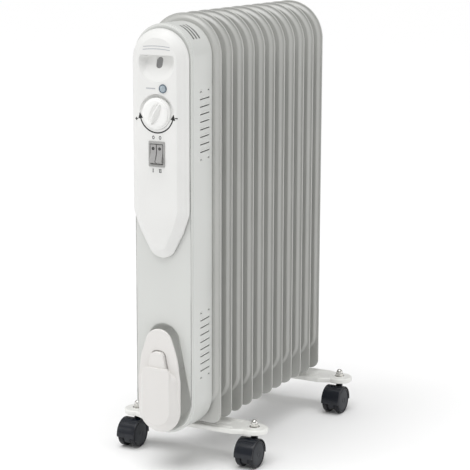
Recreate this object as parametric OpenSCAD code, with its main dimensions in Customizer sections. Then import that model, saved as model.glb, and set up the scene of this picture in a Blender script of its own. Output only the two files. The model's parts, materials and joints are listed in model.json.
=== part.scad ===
// Oil filled column radiator: a stack of hollow pressed steel fins joined by two rows of collars,
// a control housing with a cord winder at the front, and two foot bars on twin wheel castors.
// +Z is up and the controls face -Y. The origin is on the floor, under the middle of the heater.

/* [Radiator] */
// Number of fins
fin_count = 11; // [6:1:11]
// Width of a fin
fin_w = 115; // [105:1:125]
// Height of a fin, lower edge to upper edge
fin_h = 580; // [560:1:600]
// Distance from one fin to the next
fin_pitch = 32.5; // [30:0.5:36]
// Height of the lower edge of the fins above the floor
fin_bottom_z = 60; // [58:1:64]
// Thickness of a fin over its oil channels
fin_body_t = 9; // [7:0.5:11]
// Thickness of one pressed steel sheet
sheet_t = 0.8; // [0.6:0.1:1.2]
// Width of the welded rim round the oil channels
rim_w = 4.5; // [3:0.5:6]
// Radius of the two lower corners of a fin
fin_corner_r = 14.5; // [8:0.5:18]
// Height of the flat skirt below the oil channels
skirt_h = 25; // [15:1:30]
// Radius of the lower corners of the oil channels
channel_corner_r = 30; // [20:1:40]
// Width of the flat web between the oil channels
web_w = 34; // [20:1:40]

/* [Oil headers and heating elements] */
// Bore radius of the upper header
upper_bore_r = 14; // [12:0.5:16]
// Bore radius of the lower header, which holds the elements
lower_bore_r = 17; // [16:0.5:19]
// Wall of the collars between the fins
collar_t = 2.4; // [1.5:0.1:3]
// Height of the lower header above the lower edge of the fins
lower_header_rise = 55; // [50:1:60]
// Radius of the heating element tube
element_r = 4; // [3:0.25:4.5]

/* [Control housing] */
// Depth of the housing from the first fin to its front face
housing_depth = 56; // [50:1:62]
// Radius of the round upper and lower ends of the housing
housing_r = 46.4; // [46:0.1:48]
// Radius of the round ends at the stepped front edge
housing_front_r = 44.6; // [44:0.1:45.4]
// Height of the lower end of the housing above the floor
housing_bottom_z = 56; // [54:1:60]
// Thickness of the housing sheet
housing_t = 1.2; // [0.8:0.1:2]
// Number of louvre slots in each side group
louvre_count = 10; // [6:1:10]
// Distance between louvre slots
louvre_pitch = 10.3; // [8:0.1:11]

/* [Fascia and controls] */
// Radius of the round upper end of the fascia
fascia_r = 43; // [42:0.1:43.4]
// How far the flat face of the fascia stands in front of the housing
fascia_rise = 16; // [12:0.5:18]
// Width of the slope round the flat face
fascia_slope_w = 12; // [10:0.5:14]
// Wall of the fascia moulding
fascia_t = 2.2; // [1.6:0.1:2.6]
// Height of the knob axis above the floor
knob_z = 509; // [500:1:515]
// Radius of the thermostat knob
knob_r = 21.5; // [19:0.5:23]
// Turn of the grip bar from upright, as the heater is seen from the front
knob_tilt = 26; // [0:1:60]
// Height of the middle of the switch above the floor
switch_z = 454; // [448:1:456]
// Swing of a rocker from off to on
rocker_swing = 22; // [16:1:24]

/* [Cord winder] */
// Depth of the winder recess in the housing
recess_depth = 18; // [12:1:22]
// Radius of the round lower end of the winder plate
winder_r = 32.3; // [28:0.1:34]
// Gap between the housing face and the back of the winder plate
winder_gap = 11; // [8:1:14]
// Radius of the post that the cord is wound on
winder_post_r = 16; // [12:1:18]

/* [Feet and castors] */
// Half the distance between the castors of one foot
castor_x = 97.2; // [90:0.1:105]
// Width of a foot bar
foot_w = 50; // [42:1:54]
// Height of the top of a foot bar above the floor
foot_top_z = 54; // [53:0.5:56]
// How far a foot bar sits behind its U bolt
foot_offset = 11; // [8:0.5:12]
// Radius of a castor wheel
wheel_r = 20; // [18:0.5:20]
// Distance from the castor stem to the wheel axle
castor_trail = 14.5; // [12:0.5:16]

/* [Hidden] */
$fn = 64;
hull_fn = 32;
form_fn = 48;
eps = 0.01;
running_gap = 0.05;
corners = ["front_left", "front_right", "rear_left", "rear_right"];
fin_r = fin_w / 2;
arch_z = fin_bottom_z + fin_h - fin_r;
lower_header_z = fin_bottom_z + lower_header_rise;
last_fin_y = (fin_count - 1) * fin_pitch;
seam_t = 2 * sheet_t;
web_end_gap = 32;
plug_flange_t = 2;
plug_hex_r = 11;
gasket_t = 1.5;
element_flange_t = 4;
element_flange_r = lower_bore_r + 6;
element_legs = [6.5, 6];
element_end_gap = 12;
element_tail = 3;
element_back_y = -fin_body_t / 2 - gasket_t;
element_front_y = element_back_y - element_flange_t - element_tail;
terminal_r = 2.6;
terminal_l = 6;
terminal_pin_l = 8;
cutout_z = 300;
cutout_plate = [14, 36];
cutout_r = 8;
cutout_h = 8;
cutout_tab = [6, 0.8];

housing_back_y = -fin_body_t / 2 - 0.3;
housing_front_y = housing_back_y - housing_depth;
housing_edge_w = 3;
housing_low_z = housing_bottom_z + housing_r;
louvre_l = 26;
louvre_h = 1.8;
louvre_top_zs = [537.5, 229.5];
louvre_mid_y = housing_back_y - 22;
vent_ys = [-43, -35, -27];
vent_w = 2.6;
vent_from = 22;
vent_to = 54;

face_y = housing_front_y - fascia_rise;
fascia_rim_t = 2;
shoulder_x = 13;
shoulder_z = 377;
bulge_pos = [8, 356];
bulge_r = 27.5;
tip_z = 331.5;
tip_r = 23;
tip_face_drop = 5;
window_x = 24;
window_zs = [434, 531];
dish_r = 25.5;
dish_depth = 5;
knob_proud = 5;
grip_bar_h = 5.5;
grip_bar_w = 7;
shaft_r = 3;
shaft_hole_r = 5;
thermostat_size = [44, 34, 24];
bush_r = 6;
lens_pos = [10, 543];
lens_r = 6;
lens_barrel_r = 4.8;
handle_z = 577.6;
handle_r = 27;
handle_rise = 7.9;
handle_tilt = 18;
slot_w = 9.5;
slot_h = 15.5;
slot_rise = 0.8;
slot_depth = 0.8;
slot_flange = 1.5;
boss_r = 3.5;
boss_hole_r = 1.4;
boss_screw_l = 6;
boss_pos = [[20, 597], [-20, 597], [26, 400], [-26, 400]];

bezel_size = [25, 35];
bezel_t = 1.5;
switch_body = [23, 32];
switch_depth = 18;
rocker_w = 9.8;
rocker_r = 13.6;
rocker_gap = 0.3;
pivot_w = -3;
pivot_r = 1;

recess_floor_y = housing_front_y + recess_depth;
recess_low_z = 104;
recess_low_r = 40;
recess_top_z = 190;
recess_top_r = 24;
bracket_half_w = 32;
bracket_z = 150;
bracket_h = 20;
bracket_t = 1.5;
bracket_ear_w = 12;
housing_screw_x = 26;
housing_screw_r = 1.7;
plate_t = 4;
plate_back_y = housing_front_y - winder_gap;
plate_front_y = plate_back_y - plate_t;
plate_low_z = 96;
plate_mid_z = 135;
plate_top_z = 189;
plate_top_r = 20.5;
hump_h = 9;
hump_slope_w = 10.3;
hump_top_z = 156;
hump_top_x = 14.3;
hump_top_r = 6.8;
hump_neck_pos = [9, 147];
hump_neck_r = 9;
hump_shoulder_pos = [17.5, 137];
hump_shoulder_r = 11;
tongue_h = 6;
tongue_top_pos = [2.5, 170];
tongue_top_r = 8;
tongue_low_pos = [8, 152];
tongue_low_r = 6;
post_z = 122;
winder_screw_x = 8;
winder_screw_r = 1.7;
inlet_y = (housing_back_y + recess_floor_y) / 2;
inlet_bore_r = 4.2;
inlet_r = 7;

foot_t = 2;
foot_flange_h = 7;
foot_end_r = 19.5;
foot_straight_x = 74;
foot_rib_h = 1.4;
seat_w = 4;
seat_l = 76;
stem_r = 4;
collar_out_r = lower_bore_r + collar_t;
u_rod_r = 3;
u_r = collar_out_r + u_rod_r + 0.2;
u_leg_low_z = 45.6;
u_nut_r = 5.6;
u_nut_h = 4;
u_washer_r = 6.8;
u_washer_h = 1;
foot_y = [fin_pitch / 2 + foot_offset, last_fin_y - fin_pitch / 2 + foot_offset];
hood_in_r = wheel_r + 1;
hood_out_r = wheel_r + 2.4;
hood_half_w = 14.5;
core_half_w = 5.2;
wheel_w = 8.7;
wheel_side_gap = 0.4;
axle_r = 3;
neck_r = 5.4;
neck_top_z = foot_top_z - foot_t - 0.5;
nut_r = 6.2;

front_y = face_y - knob_proud - grip_bar_h;
rear_y = foot_y[1] + foot_w / 2;
origin_y = (front_y + rear_y) / 2;

function fin_name(i) = str("fin_", i < 9 ? "0" : "", i + 1);
fin_names = [for (i = [0 : fin_count - 1]) fin_name(i)];
hood_names = [for (c = corners) str("castor_hood_", c)];
axle_names = [for (c = corners) str("castor_axle_", c)];
inner_names = [for (c = corners) str("inner_wheel_", c)];
outer_names = [for (c = corners) str("outer_wheel_", c)];

// ---------- helpers ----------

// Everything is drawn with the first fin at y = 0 and moved so that the origin is at the middle.
module in_frame() {
    translate([0, -origin_y, 0])
        children();
}

// A flat outline drawn in X and Z becomes a slab centred on y.
module slab(t, y = 0) {
    translate([0, y, 0])
        rotate([90, 0, 0])
            linear_extrude(t, center = true)
                children();
}

// A flat outline in X and Z becomes a solid from y_back forward to y_front.
module block(y_back, y_front) {
    translate([0, y_back, 0])
        rotate([90, 0, 0])
            linear_extrude(y_back - y_front)
                children();
}

// A cylinder along Y at x and z, from y_back forward to y_front.
module rod(r, x, z, y_back, y_front, sides = 64) {
    translate([x, y_back, z])
        rotate([90, 0, 0])
            cylinder(r = r, h = y_back - y_front, $fn = sides);
}

// Door shape: a round top and two rounded lower corners.
module arch_outline(r, low_z, corner_r) {
    translate([0, arch_z])
        circle(r);
    translate([-r, low_z + corner_r])
        square([2 * r, arch_z - low_z - corner_r]);
    translate([corner_r - r, low_z])
        square([2 * (r - corner_r), corner_r + eps]);
    for (side = [-1, 1])
        translate([side * (r - corner_r), low_z + corner_r])
            circle(corner_r);
}

// A pan head screw that points back along +Y from its head.
module screw(x, z, head_y, length, r) {
    rod(2 * r, x, z, head_y, head_y - 1.2 * r);
    rod(r, x, z, head_y + length, head_y);
}

// ---------- radiator ----------

module channel_outline(inset) {
    arch_outline(fin_r - rim_w - inset, fin_bottom_z + skirt_h + inset, channel_corner_r - inset);
}

module web_outline(grow) {
    r = web_w / 2 + grow;
    low_z = lower_header_z + web_end_gap + web_w / 2;
    high_z = arch_z - web_end_gap - web_w / 2;
    for (z = [low_z, high_z])
        translate([0, z])
            circle(r);
    translate([-r, low_z])
        square([2 * r, high_z - low_z]);
}

module fin(index) {
    color("gainsboro")
        in_frame()
            translate([0, index * fin_pitch, 0])
                difference() {
                    union() {
                        slab(seam_t)
                            arch_outline(fin_r, fin_bottom_z, fin_corner_r);
                        slab(fin_body_t)
                            difference() {
                                channel_outline(0);
                                web_outline(0);
                            }
                    }
                    slab(fin_body_t - 2 * sheet_t)
                        difference() {
                            channel_outline(sheet_t);
                            web_outline(sheet_t);
                        }
                    rod(upper_bore_r, 0, arch_z, fin_body_t, -fin_body_t);
                    rod(lower_bore_r, 0, lower_header_z, fin_body_t, -fin_body_t);
                }
}

module collars(bore_r, z) {
    color("gainsboro")
        in_frame()
            for (i = [0 : fin_count - 2])
                slab(fin_pitch - fin_body_t, (i + 0.5) * fin_pitch)
                    translate([0, z])
                        difference() {
                            circle(bore_r + collar_t);
                            circle(bore_r);
                        }
}

module upper_collars() {
    collars(upper_bore_r, arch_z);
}

module lower_collars() {
    collars(lower_bore_r, lower_header_z);
}

module rear_cap(bore_r, z) {
    cap_y = last_fin_y + fin_body_t / 2;
    rod(bore_r + collar_t, 0, z, cap_y + plug_flange_t, cap_y);
    rod(bore_r - running_gap, 0, z, cap_y, cap_y - sheet_t - 1);
}

module rear_caps() {
    color("gainsboro")
        in_frame() {
            rear_cap(upper_bore_r, arch_z);
            rear_cap(lower_bore_r, lower_header_z);
        }
}

module filler_plug() {
    plug_y = -fin_body_t / 2;
    color("silver")
        in_frame() {
            rod(upper_bore_r - running_gap, 0, arch_z, plug_y + 5, plug_y);
            rod(upper_bore_r + 3, 0, arch_z, plug_y, plug_y - plug_flange_t);
            rod(plug_hex_r, 0, arch_z, plug_y - plug_flange_t, plug_y - plug_flange_t - 6, 6);
        }
}

// ---------- heating elements ----------

module element_gasket() {
    color("dimgray")
        in_frame()
            slab(gasket_t, -(fin_body_t + gasket_t) / 2)
                translate([0, lower_header_z])
                    difference() {
                        circle(element_flange_r - 1);
                        circle(lower_bore_r);
                    }
}

module element_flange() {
    back_y = element_back_y;
    color("silver")
        in_frame()
            difference() {
                union() {
                    rod(element_flange_r, 0, lower_header_z, back_y, back_y - element_flange_t);
                    rod(lower_bore_r - 1, 0, lower_header_z, back_y + gasket_t + 4, back_y);
                }
                for (x = [-1, 1], z = [-1, 1])
                    rod(
                        element_r + running_gap,
                        x * element_legs[0],
                        lower_header_z + z * element_legs[1],
                        fin_body_t,
                        element_front_y
                    );
            }
}

// One U shaped tube in the lower header, on the upper or the lower side.
module heating_element(side) {
    bend_y = last_fin_y - element_end_gap;
    leg_z = lower_header_z + side * element_legs[1];
    color("dimgray")
        in_frame() {
            for (x = [-1, 1])
                rod(element_r, x * element_legs[0], leg_z, bend_y, element_front_y);
            translate([0, bend_y, leg_z])
                rotate_extrude(angle = 180)
                    translate([element_legs[0], 0])
                        circle(element_r);
        }
}

module element_terminals() {
    pin_y = element_front_y - terminal_l;
    color("ivory")
        in_frame()
            for (x = [-1, 1], z = [-1, 1]) {
                leg_x = x * element_legs[0];
                leg_z = lower_header_z + z * element_legs[1];
                rod(terminal_r, leg_x, leg_z, element_front_y, pin_y);
                rod(terminal_r / 2, leg_x, leg_z, pin_y, pin_y - terminal_pin_l);
            }
}

module thermal_cutout() {
    base_y = -seam_t / 2;
    can_y = base_y - 1;
    tab_y = can_y - cutout_h;
    color("black")
        in_frame() {
            block(base_y, can_y)
                translate([0, cutout_z])
                    square(cutout_plate, center = true);
            rod(cutout_r, 0, cutout_z, can_y, tab_y);
            for (z = [-5, 5])
                block(tab_y, tab_y - cutout_h)
                    translate([0, cutout_z + z])
                        square(cutout_tab, center = true);
        }
}

// ---------- control housing ----------

// A straight sided outline with round upper and lower ends.
module stadium_outline(r) {
    for (z = [housing_low_z, arch_z])
        translate([0, z])
            circle(r);
    translate([-r, housing_low_z])
        square([2 * r, arch_z - housing_low_z]);
}

module housing_form(inset) {
    step_y = housing_front_y + housing_edge_w;
    block(housing_back_y, step_y + inset)
        stadium_outline(housing_r - inset);
    block(step_y + inset + eps, housing_front_y + inset)
        stadium_outline(housing_front_r - inset);
}

module recess_outline(grow) {
    hull() {
        translate([0, recess_low_z])
            circle(recess_low_r + grow);
        translate([0, recess_top_z])
            circle(recess_top_r + grow);
    }
}

module louvres(top_z) {
    for (i = [0 : louvre_count - 1]) {
        is_end = i == 0 || i == louvre_count - 1;
        slot_l = is_end ? louvre_l / 2 : louvre_l;
        translate([0, louvre_mid_y, top_z - i * louvre_pitch])
            cube([4 * housing_r, slot_l, louvre_h], center = true);
    }
}

// Slots that follow the round top, on both sides of the middle.
module top_vents() {
    for (y = vent_ys, side = [0, 1])
        mirror([side, 0, 0])
            translate([0, y, arch_z])
                rotate([90, 0, 0])
                    rotate([0, 0, 90 - vent_to])
                        rotate_extrude(angle = vent_to - vent_from)
                            translate([housing_front_r - 3, -vent_w / 2])
                                square([10, vent_w]);
}

module control_housing() {
    color("whitesmoke")
        in_frame()
            difference() {
                union() {
                    difference() {
                        housing_form(0);
                        housing_form(housing_t);
                    }
                    block(recess_floor_y + housing_t, housing_front_y)
                        recess_outline(housing_t);
                }
                block(recess_floor_y, housing_front_y - 1)
                    recess_outline(0);
                block(housing_front_y + housing_edge_w, housing_front_y - 1)
                    translate([-window_x, window_zs[0]])
                        square([2 * window_x, window_zs[1] - window_zs[0]]);
                for (pos = boss_pos)
                    rod(boss_hole_r + 0.2, pos[0], pos[1], housing_back_y, housing_front_y - 1);
                for (z = louvre_top_zs)
                    louvres(z);
                top_vents();
                translate([0, inlet_y, 0])
                    cylinder(r = inlet_bore_r + 1, h = fin_bottom_z + 5);
                for (x = [-1, 1]) {
                    rod(housing_screw_r + 0.3, x * housing_screw_x, bracket_z, 0, housing_front_y);
                    rod(winder_screw_r + 0.3, x * winder_screw_x, post_z, 0, housing_front_y);
                }
            }
}

// Strap on the first fin with two arms that the housing is screwed to.
module housing_bracket() {
    back_y = -fin_body_t / 2;
    ear_y = recess_floor_y + housing_t;
    low_z = bracket_z - bracket_h / 2;
    color("silver")
        in_frame()
            difference() {
                union() {
                    block(back_y, back_y - bracket_t)
                        translate([-bracket_half_w, low_z])
                            square([2 * bracket_half_w, bracket_h]);
                    for (side = [0, 1])
                        mirror([side, 0, 0]) {
                            block(back_y, ear_y)
                                translate([bracket_half_w - bracket_t, low_z])
                                    square([bracket_t, bracket_h]);
                            block(ear_y + bracket_t, ear_y)
                                translate([bracket_half_w - bracket_ear_w, low_z])
                                    square([bracket_ear_w, bracket_h]);
                        }
                }
                for (x = [-1, 1])
                    rod(housing_screw_r + running_gap, x * housing_screw_x, bracket_z, ear_y + 3, ear_y - 3);
            }
}

module housing_screws() {
    color("silver")
        in_frame()
            for (x = [-1, 1])
                screw(x * housing_screw_x, bracket_z, recess_floor_y, 9, housing_screw_r);
}

// ---------- fascia ----------

module handle_outline(grow) {
    intersection() {
        union() {
            circle(handle_r + grow);
            translate([-handle_r - grow, 0])
                square([2 * (handle_r + grow), handle_r]);
        }
        translate([-2 * handle_r, -2 * handle_r])
            square([4 * handle_r, 2 * handle_r + handle_rise + grow]);
    }
}

// The handle scoop is drawn with Z out of its floor, which leans back from the flat face.
module on_scoop() {
    translate([0, face_y, handle_z - handle_r])
        rotate([90 - handle_tilt, 0, 0])
            translate([0, handle_r, 0])
                children();
}

// A scoop that is flush at its lower end and deepest under its flat upper edge.
module handle_scoop(grow, height) {
    on_scoop()
        translate([0, 0, -grow])
            linear_extrude(height)
                handle_outline(grow);
}

module slot_outline(inset) {
    half_h = (slot_h - slot_w) / 2;
    hull()
        for (v = [-half_h, half_h])
            translate([0, slot_rise + v])
                circle(slot_w / 2 - inset);
}

module fascia_form(inset) {
    rim_y = housing_front_y - fascia_rim_t;
    face_inset = inset + fascia_slope_w;
    hull() {
        rod(fascia_r - inset, 0, arch_z - 3, housing_front_y + inset, rim_y, form_fn);
        rod(tip_r - inset, 0, tip_z, housing_front_y + inset, rim_y, form_fn);
        rod(fascia_r - face_inset, 0, arch_z - 3, face_y + inset + 1, face_y + inset, form_fn);
        for (x = [-shoulder_x, shoulder_x]) {
            shoulder_r = fascia_r - shoulder_x;
            rod(shoulder_r - inset, x, shoulder_z, housing_front_y + inset, rim_y, form_fn);
            rod(shoulder_r - face_inset, x, shoulder_z, face_y + inset + 1, face_y + inset, form_fn);
        }
        for (side = [-1, 1])
            rod(bulge_r - inset, side * bulge_pos[0], bulge_pos[1], housing_front_y + inset, rim_y, form_fn);
        translate([0, tip_face_drop, 0])
            rod(tip_r - 8 - inset, 0, tip_z + 4, face_y + inset + 1, face_y + inset, form_fn);
    }
}

module control_fascia() {
    dish_floor_y = face_y + dish_depth;
    color("white")
        in_frame()
            difference() {
                union() {
                    difference() {
                        fascia_form(0);
                        fascia_form(fascia_t);
                    }
                    rod(dish_r + fascia_t, 0, knob_z, dish_floor_y + fascia_t, face_y + 0.5);
                    intersection() {
                        handle_scoop(fascia_t, 14);
                        fascia_form(eps);
                    }
                    for (pos = boss_pos)
                        rod(boss_r, pos[0], pos[1], housing_front_y, face_y + fascia_t / 2);
                }
                rod(dish_r, 0, knob_z, dish_floor_y, face_y - 1);
                rod(shaft_hole_r, 0, knob_z, 0, face_y - 1);
                handle_scoop(0, 30);
                rod(lens_barrel_r + 0.1, lens_pos[0], lens_pos[1], 0, face_y - 1);
                block(housing_front_y, face_y - 1)
                    translate([0, switch_z])
                        square([switch_body[0] + 0.4, switch_body[1] + 0.4], center = true);
                on_scoop()
                    translate([0, 0, -fascia_t - 1])
                        linear_extrude(fascia_t + 2)
                            slot_outline(0);
                for (pos = boss_pos)
                    rod(boss_hole_r, pos[0], pos[1], housing_front_y + 1, housing_front_y - boss_screw_l - 1);
            }
}

module fascia_screws() {
    color("silver")
        in_frame()
            for (pos = boss_pos) {
                head_y = housing_front_y + housing_t;
                rod(2 * boss_hole_r, pos[0], pos[1], head_y + 1.8, head_y);
                rod(boss_hole_r - running_gap, pos[0], pos[1], head_y, housing_front_y - boss_screw_l);
            }
}

module handle_slot_insert() {
    color("gray")
        in_frame()
            on_scoop() {
                translate([0, 0, -fascia_t])
                    linear_extrude(fascia_t - slot_depth)
                        slot_outline(0.1);
                translate([0, 0, -fascia_t - slot_flange])
                    linear_extrude(slot_flange)
                        slot_outline(-slot_flange);
            }
}

module indicator_lens() {
    color("lightsteelblue")
        in_frame()
            translate([lens_pos[0], face_y, lens_pos[1]])
                rotate([90, 0, 0]) {
                    intersection() {
                        cylinder(r = lens_r, h = 3);
                        translate([0, 0, -10.5])
                            sphere(r = 12.4);
                    }
                    translate([0, 0, -6])
                        difference() {
                            cylinder(r = lens_barrel_r, h = 6 + eps);
                            translate([0, 0, -1])
                                cylinder(r = 3.4, h = 5);
                        }
                }
}

module indicator_lamp() {
    color("orange")
        in_frame()
            rod(3.2, lens_pos[0], lens_pos[1], housing_front_y - 0.5, face_y + 2.4);
}

// ---------- thermostat ----------

module thermostat_knob() {
    back_y = face_y + dish_depth - 0.6;
    front_plane_y = face_y - knob_proud;
    color("white")
        in_frame()
            difference() {
                union() {
                    rod(knob_r, 0, knob_z, back_y, front_plane_y);
                    translate([0, front_plane_y, knob_z])
                        rotate([90, knob_tilt, 0])
                            hull() {
                                translate([0, 0, -1])
                                    for (v = [-1, 1])
                                        translate([0, v * (knob_r - grip_bar_w)])
                                            cylinder(r = grip_bar_w - 1, h = 1, $fn = hull_fn);
                                for (v = [-1, 1])
                                    translate([0, v * (knob_r - grip_bar_w), grip_bar_h - 1])
                                        cylinder(r = grip_bar_w / 2, h = 1, $fn = hull_fn);
                            }
                }
                rod(shaft_r + 0.02, 0, knob_z, back_y + 1, front_plane_y + 1);
            }
}

module thermostat_shaft() {
    color("silver")
        in_frame()
            rod(shaft_r, 0, knob_z, face_y + 22, face_y - knob_proud + 1);
}

module thermostat_body() {
    nose_y = face_y + dish_depth + fascia_t;
    color("dimgray")
        in_frame()
            difference() {
                union() {
                    rod(bush_r, 0, knob_z, nose_y + 5, nose_y);
                    translate([0, nose_y + 4 + thermostat_size[2] / 2, knob_z])
                        cube([thermostat_size[0], thermostat_size[2], thermostat_size[1]], center = true);
                }
                rod(shaft_r + running_gap, 0, knob_z, face_y + 22.5, nose_y - 1);
            }
}

// ---------- switch ----------

// Switch parts are drawn with X across, Y up and Z out of the flat face.
module on_switch() {
    in_frame()
        translate([0, face_y, switch_z])
            rotate([90, 0, 0])
                children();
}

module switch_frame() {
    opening = [2 * rocker_w + 3 * rocker_gap, 2 * (rocker_r + rocker_gap)];
    color("gray")
        on_switch()
            difference() {
                union() {
                    linear_extrude(bezel_t)
                        square(bezel_size, center = true);
                    translate([0, 0, -switch_depth])
                        linear_extrude(switch_depth + eps)
                            square(switch_body, center = true);
                    for (x = [-5, 5], y = [-8, 8])
                        translate([x, y, -switch_depth - 4])
                            cube([4, 0.8, 9], center = true);
                }
                difference() {
                    translate([0, 0, 1.5 - switch_depth])
                        linear_extrude(switch_depth + bezel_t)
                            square(opening, center = true);
                    translate([-switch_body[0] / 2, 0, pivot_w])
                        rotate([0, 90, 0])
                            cylinder(r = pivot_r, h = switch_body[0]);
                }
            }
}

// A rocker with two flat faces that meet at a shallow angle over its pivot.
module rocker(side) {
    half_swing = rocker_swing / 2;
    rise = rocker_r * tan(half_swing);
    color("darkgray")
        on_switch()
            translate([side * (rocker_w + rocker_gap) / 2, 0, pivot_w])
                rotate([-half_swing, 0, 0])
                    rotate([90, 0, 90])
                        difference() {
                            intersection() {
                                cylinder(r = rocker_r, h = rocker_w, center = true);
                                linear_extrude(rocker_w, center = true)
                                    polygon([
                                        [-rocker_r, -2],
                                        [-5, -8],
                                        [5, -8],
                                        [rocker_r, -2],
                                        [rocker_r, 3.3 + bezel_t + rise],
                                        [0, 3.3 + bezel_t],
                                        [-rocker_r, 3.3 + bezel_t + rise]
                                    ]);
                            }
                            cylinder(r = pivot_r + running_gap, h = 2 * rocker_w, center = true);
                        }
}

module rocker_left() {
    rocker(-1);
}

module rocker_right() {
    rocker(1);
}

// ---------- cord winder ----------

module plate_outline(inset) {
    hull() {
        translate([0, plate_low_z])
            circle(winder_r - inset);
        translate([0, plate_mid_z])
            circle(winder_r - 0.5 - inset);
        translate([0, plate_top_z])
            circle(plate_top_r - inset);
    }
}

module mirrored_circle(pos, r) {
    for (side = [-1, 1])
        translate([side * pos[0], pos[1]])
            circle(r);
}

// A raised cover with sloping sides and a steep upper edge.
module hump() {
    hull() {
        block(plate_front_y + 1, plate_front_y) {
            translate([0, plate_low_z])
                circle(winder_r - 1);
            mirrored_circle(hump_shoulder_pos, hump_shoulder_r);
            mirrored_circle(hump_neck_pos, hump_neck_r);
        }
        block(plate_front_y, plate_front_y - hump_h) {
            translate([0, plate_low_z])
                circle(winder_r - 1 - hump_slope_w);
            mirrored_circle([hump_top_x, hump_top_z - hump_top_r], hump_top_r);
        }
    }
}

module tongue() {
    block(plate_front_y + 1, plate_front_y - tongue_h)
        hull() {
            mirrored_circle(tongue_top_pos, tongue_top_r);
            mirrored_circle(tongue_low_pos, tongue_low_r);
        }
}

// The post fills the middle of the plate, so its two screws have something to bite in.
module cord_winder() {
    color("snow")
        in_frame()
            difference() {
                union() {
                    block(plate_back_y, plate_front_y)
                        plate_outline(0);
                    hump();
                    tongue();
                    rod(winder_post_r, 0, post_z, recess_floor_y, plate_back_y);
                }
                for (x = [-winder_screw_x, winder_screw_x])
                    rod(winder_screw_r + running_gap, x, post_z, recess_floor_y + 1, recess_floor_y - 12);
            }
}

module winder_screws() {
    head_y = recess_floor_y + housing_t;
    color("silver")
        in_frame()
            for (x = [-1, 1]) {
                rod(2 * winder_screw_r, x * winder_screw_x, post_z, head_y + 2, head_y);
                rod(winder_screw_r, x * winder_screw_x, post_z, head_y, recess_floor_y - 10);
            }
}

// Bush that a mains cord passes through, in the underside of the housing.
module cable_inlet() {
    color("white")
        in_frame()
            translate([0, inlet_y, housing_bottom_z])
                difference() {
                    union() {
                        translate([0, 0, -1])
                            cylinder(r = inlet_bore_r + 0.95, h = 7);
                        translate([0, 0, -4])
                            cylinder(r = inlet_r, h = 4);
                    }
                    translate([0, 0, -5])
                        cylinder(r = inlet_bore_r, h = 12);
                }
}

// ---------- feet ----------

module foot_outline(inset) {
    hull() {
        square([2 * foot_straight_x, foot_w - 2 * inset], center = true);
        for (side = [-1, 1])
            translate([side * castor_x, 0])
                circle(foot_end_r - inset);
    }
}

// A pressed bar with turned down edges, ribs, and a seat that the lower edge of a fin stands on.
module foot(y) {
    seat_y = fin_pitch / 2 - foot_offset;
    color("whitesmoke")
        in_frame()
            translate([0, y, 0])
                difference() {
                    union() {
                        translate([0, 0, foot_top_z - foot_flange_h])
                            linear_extrude(foot_flange_h)
                                foot_outline(0);
                        translate([-seat_l / 2, seat_y - seat_w / 2, foot_top_z - eps])
                            cube([seat_l, seat_w, fin_bottom_z - foot_top_z + eps]);
                        for (x = [-1, 1])
                            translate([x * castor_x, 0, foot_top_z - eps])
                                cylinder(r = nut_r + 3.5, h = 0.8 + eps);
                        for (rib_y = [-17, 16])
                            translate([-70, rib_y - 1.5, foot_top_z - eps])
                                cube([140, 3, foot_rib_h + eps]);
                    }
                    translate([0, 0, foot_top_z - foot_flange_h - 1])
                        linear_extrude(foot_flange_h + 1 - foot_t)
                            foot_outline(foot_t);
                    for (x = [-1, 1]) {
                        translate([x * castor_x, 0, 0])
                            cylinder(r = stem_r + 0.1, h = 2 * foot_top_z);
                        translate([x * u_r, -foot_offset, 0])
                            cylinder(r = u_rod_r + 0.3, h = 2 * foot_top_z);
                    }
                }
}

module front_foot() {
    foot(foot_y[0]);
}

module rear_foot() {
    foot(foot_y[1]);
}

module u_bolts() {
    color("silver")
        in_frame()
            for (y = foot_y)
                translate([0, y - foot_offset, lower_header_z]) {
                    rotate([90, 0, 0])
                        rotate_extrude(angle = 180)
                            translate([u_r, 0])
                                circle(u_rod_r);
                    for (x = [-1, 1])
                        translate([x * u_r, 0, u_leg_low_z - lower_header_z])
                            cylinder(r = u_rod_r, h = lower_header_z - u_leg_low_z);
                }
}

// Low hexagon nut and washer, hidden in the channel of the foot.
module u_bolt_nuts() {
    under_z = foot_top_z - foot_t;
    color("silver")
        in_frame()
            for (y = foot_y, x = [-1, 1])
                translate([x * u_r, y - foot_offset, under_z])
                    difference() {
                        union() {
                            translate([0, 0, -u_washer_h])
                                cylinder(r = u_washer_r, h = u_washer_h);
                            translate([0, 0, -u_washer_h - u_nut_h])
                                cylinder(r = u_nut_r, h = u_nut_h + eps, $fn = 6);
                        }
                        translate([0, 0, -2 * u_nut_h])
                            cylinder(r = u_rod_r + 0.02, h = 3 * u_nut_h);
                    }
}

// ---------- castors ----------

// Acorn nut: a hexagon under a round cap, with a blind hole for the stem.
module castor_nuts() {
    color("silver")
        in_frame()
            for (y = foot_y, x = [-1, 1])
                translate([x * castor_x, y, foot_top_z + 0.8])
                    difference() {
                        union() {
                            cylinder(r = nut_r, h = 4.5, $fn = 6);
                            translate([0, 0, 4.5 - eps])
                                cylinder(r = 4.9, h = 1.5);
                            translate([0, 0, 6])
                                sphere(r = 4.9);
                        }
                        translate([0, 0, -1])
                            cylinder(r = stem_r + 0.02, h = 7);
                    }
}

module castor_stems() {
    color("silver")
        in_frame()
            for (y = foot_y, x = [-1, 1])
                translate([x * castor_x, y, 0]) {
                    translate([0, 0, 26])
                        cylinder(r = stem_r, h = foot_top_z + 6.5 - 26);
                    translate([0, 0, neck_top_z + 0.1])
                        cylinder(r = 7.5, h = foot_top_z - foot_t - neck_top_z - 0.1);
                }
}

function castor_pos(index) = [
    (index % 2 == 0 ? -1 : 1) * castor_x,
    foot_y[index < 2 ? 0 : 1]
];

// Castor parts are drawn with the stem on the Z axis and the axle in front of it.
module at_castor(index) {
    in_frame()
        translate(castor_pos(index))
            children();
}

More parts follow.
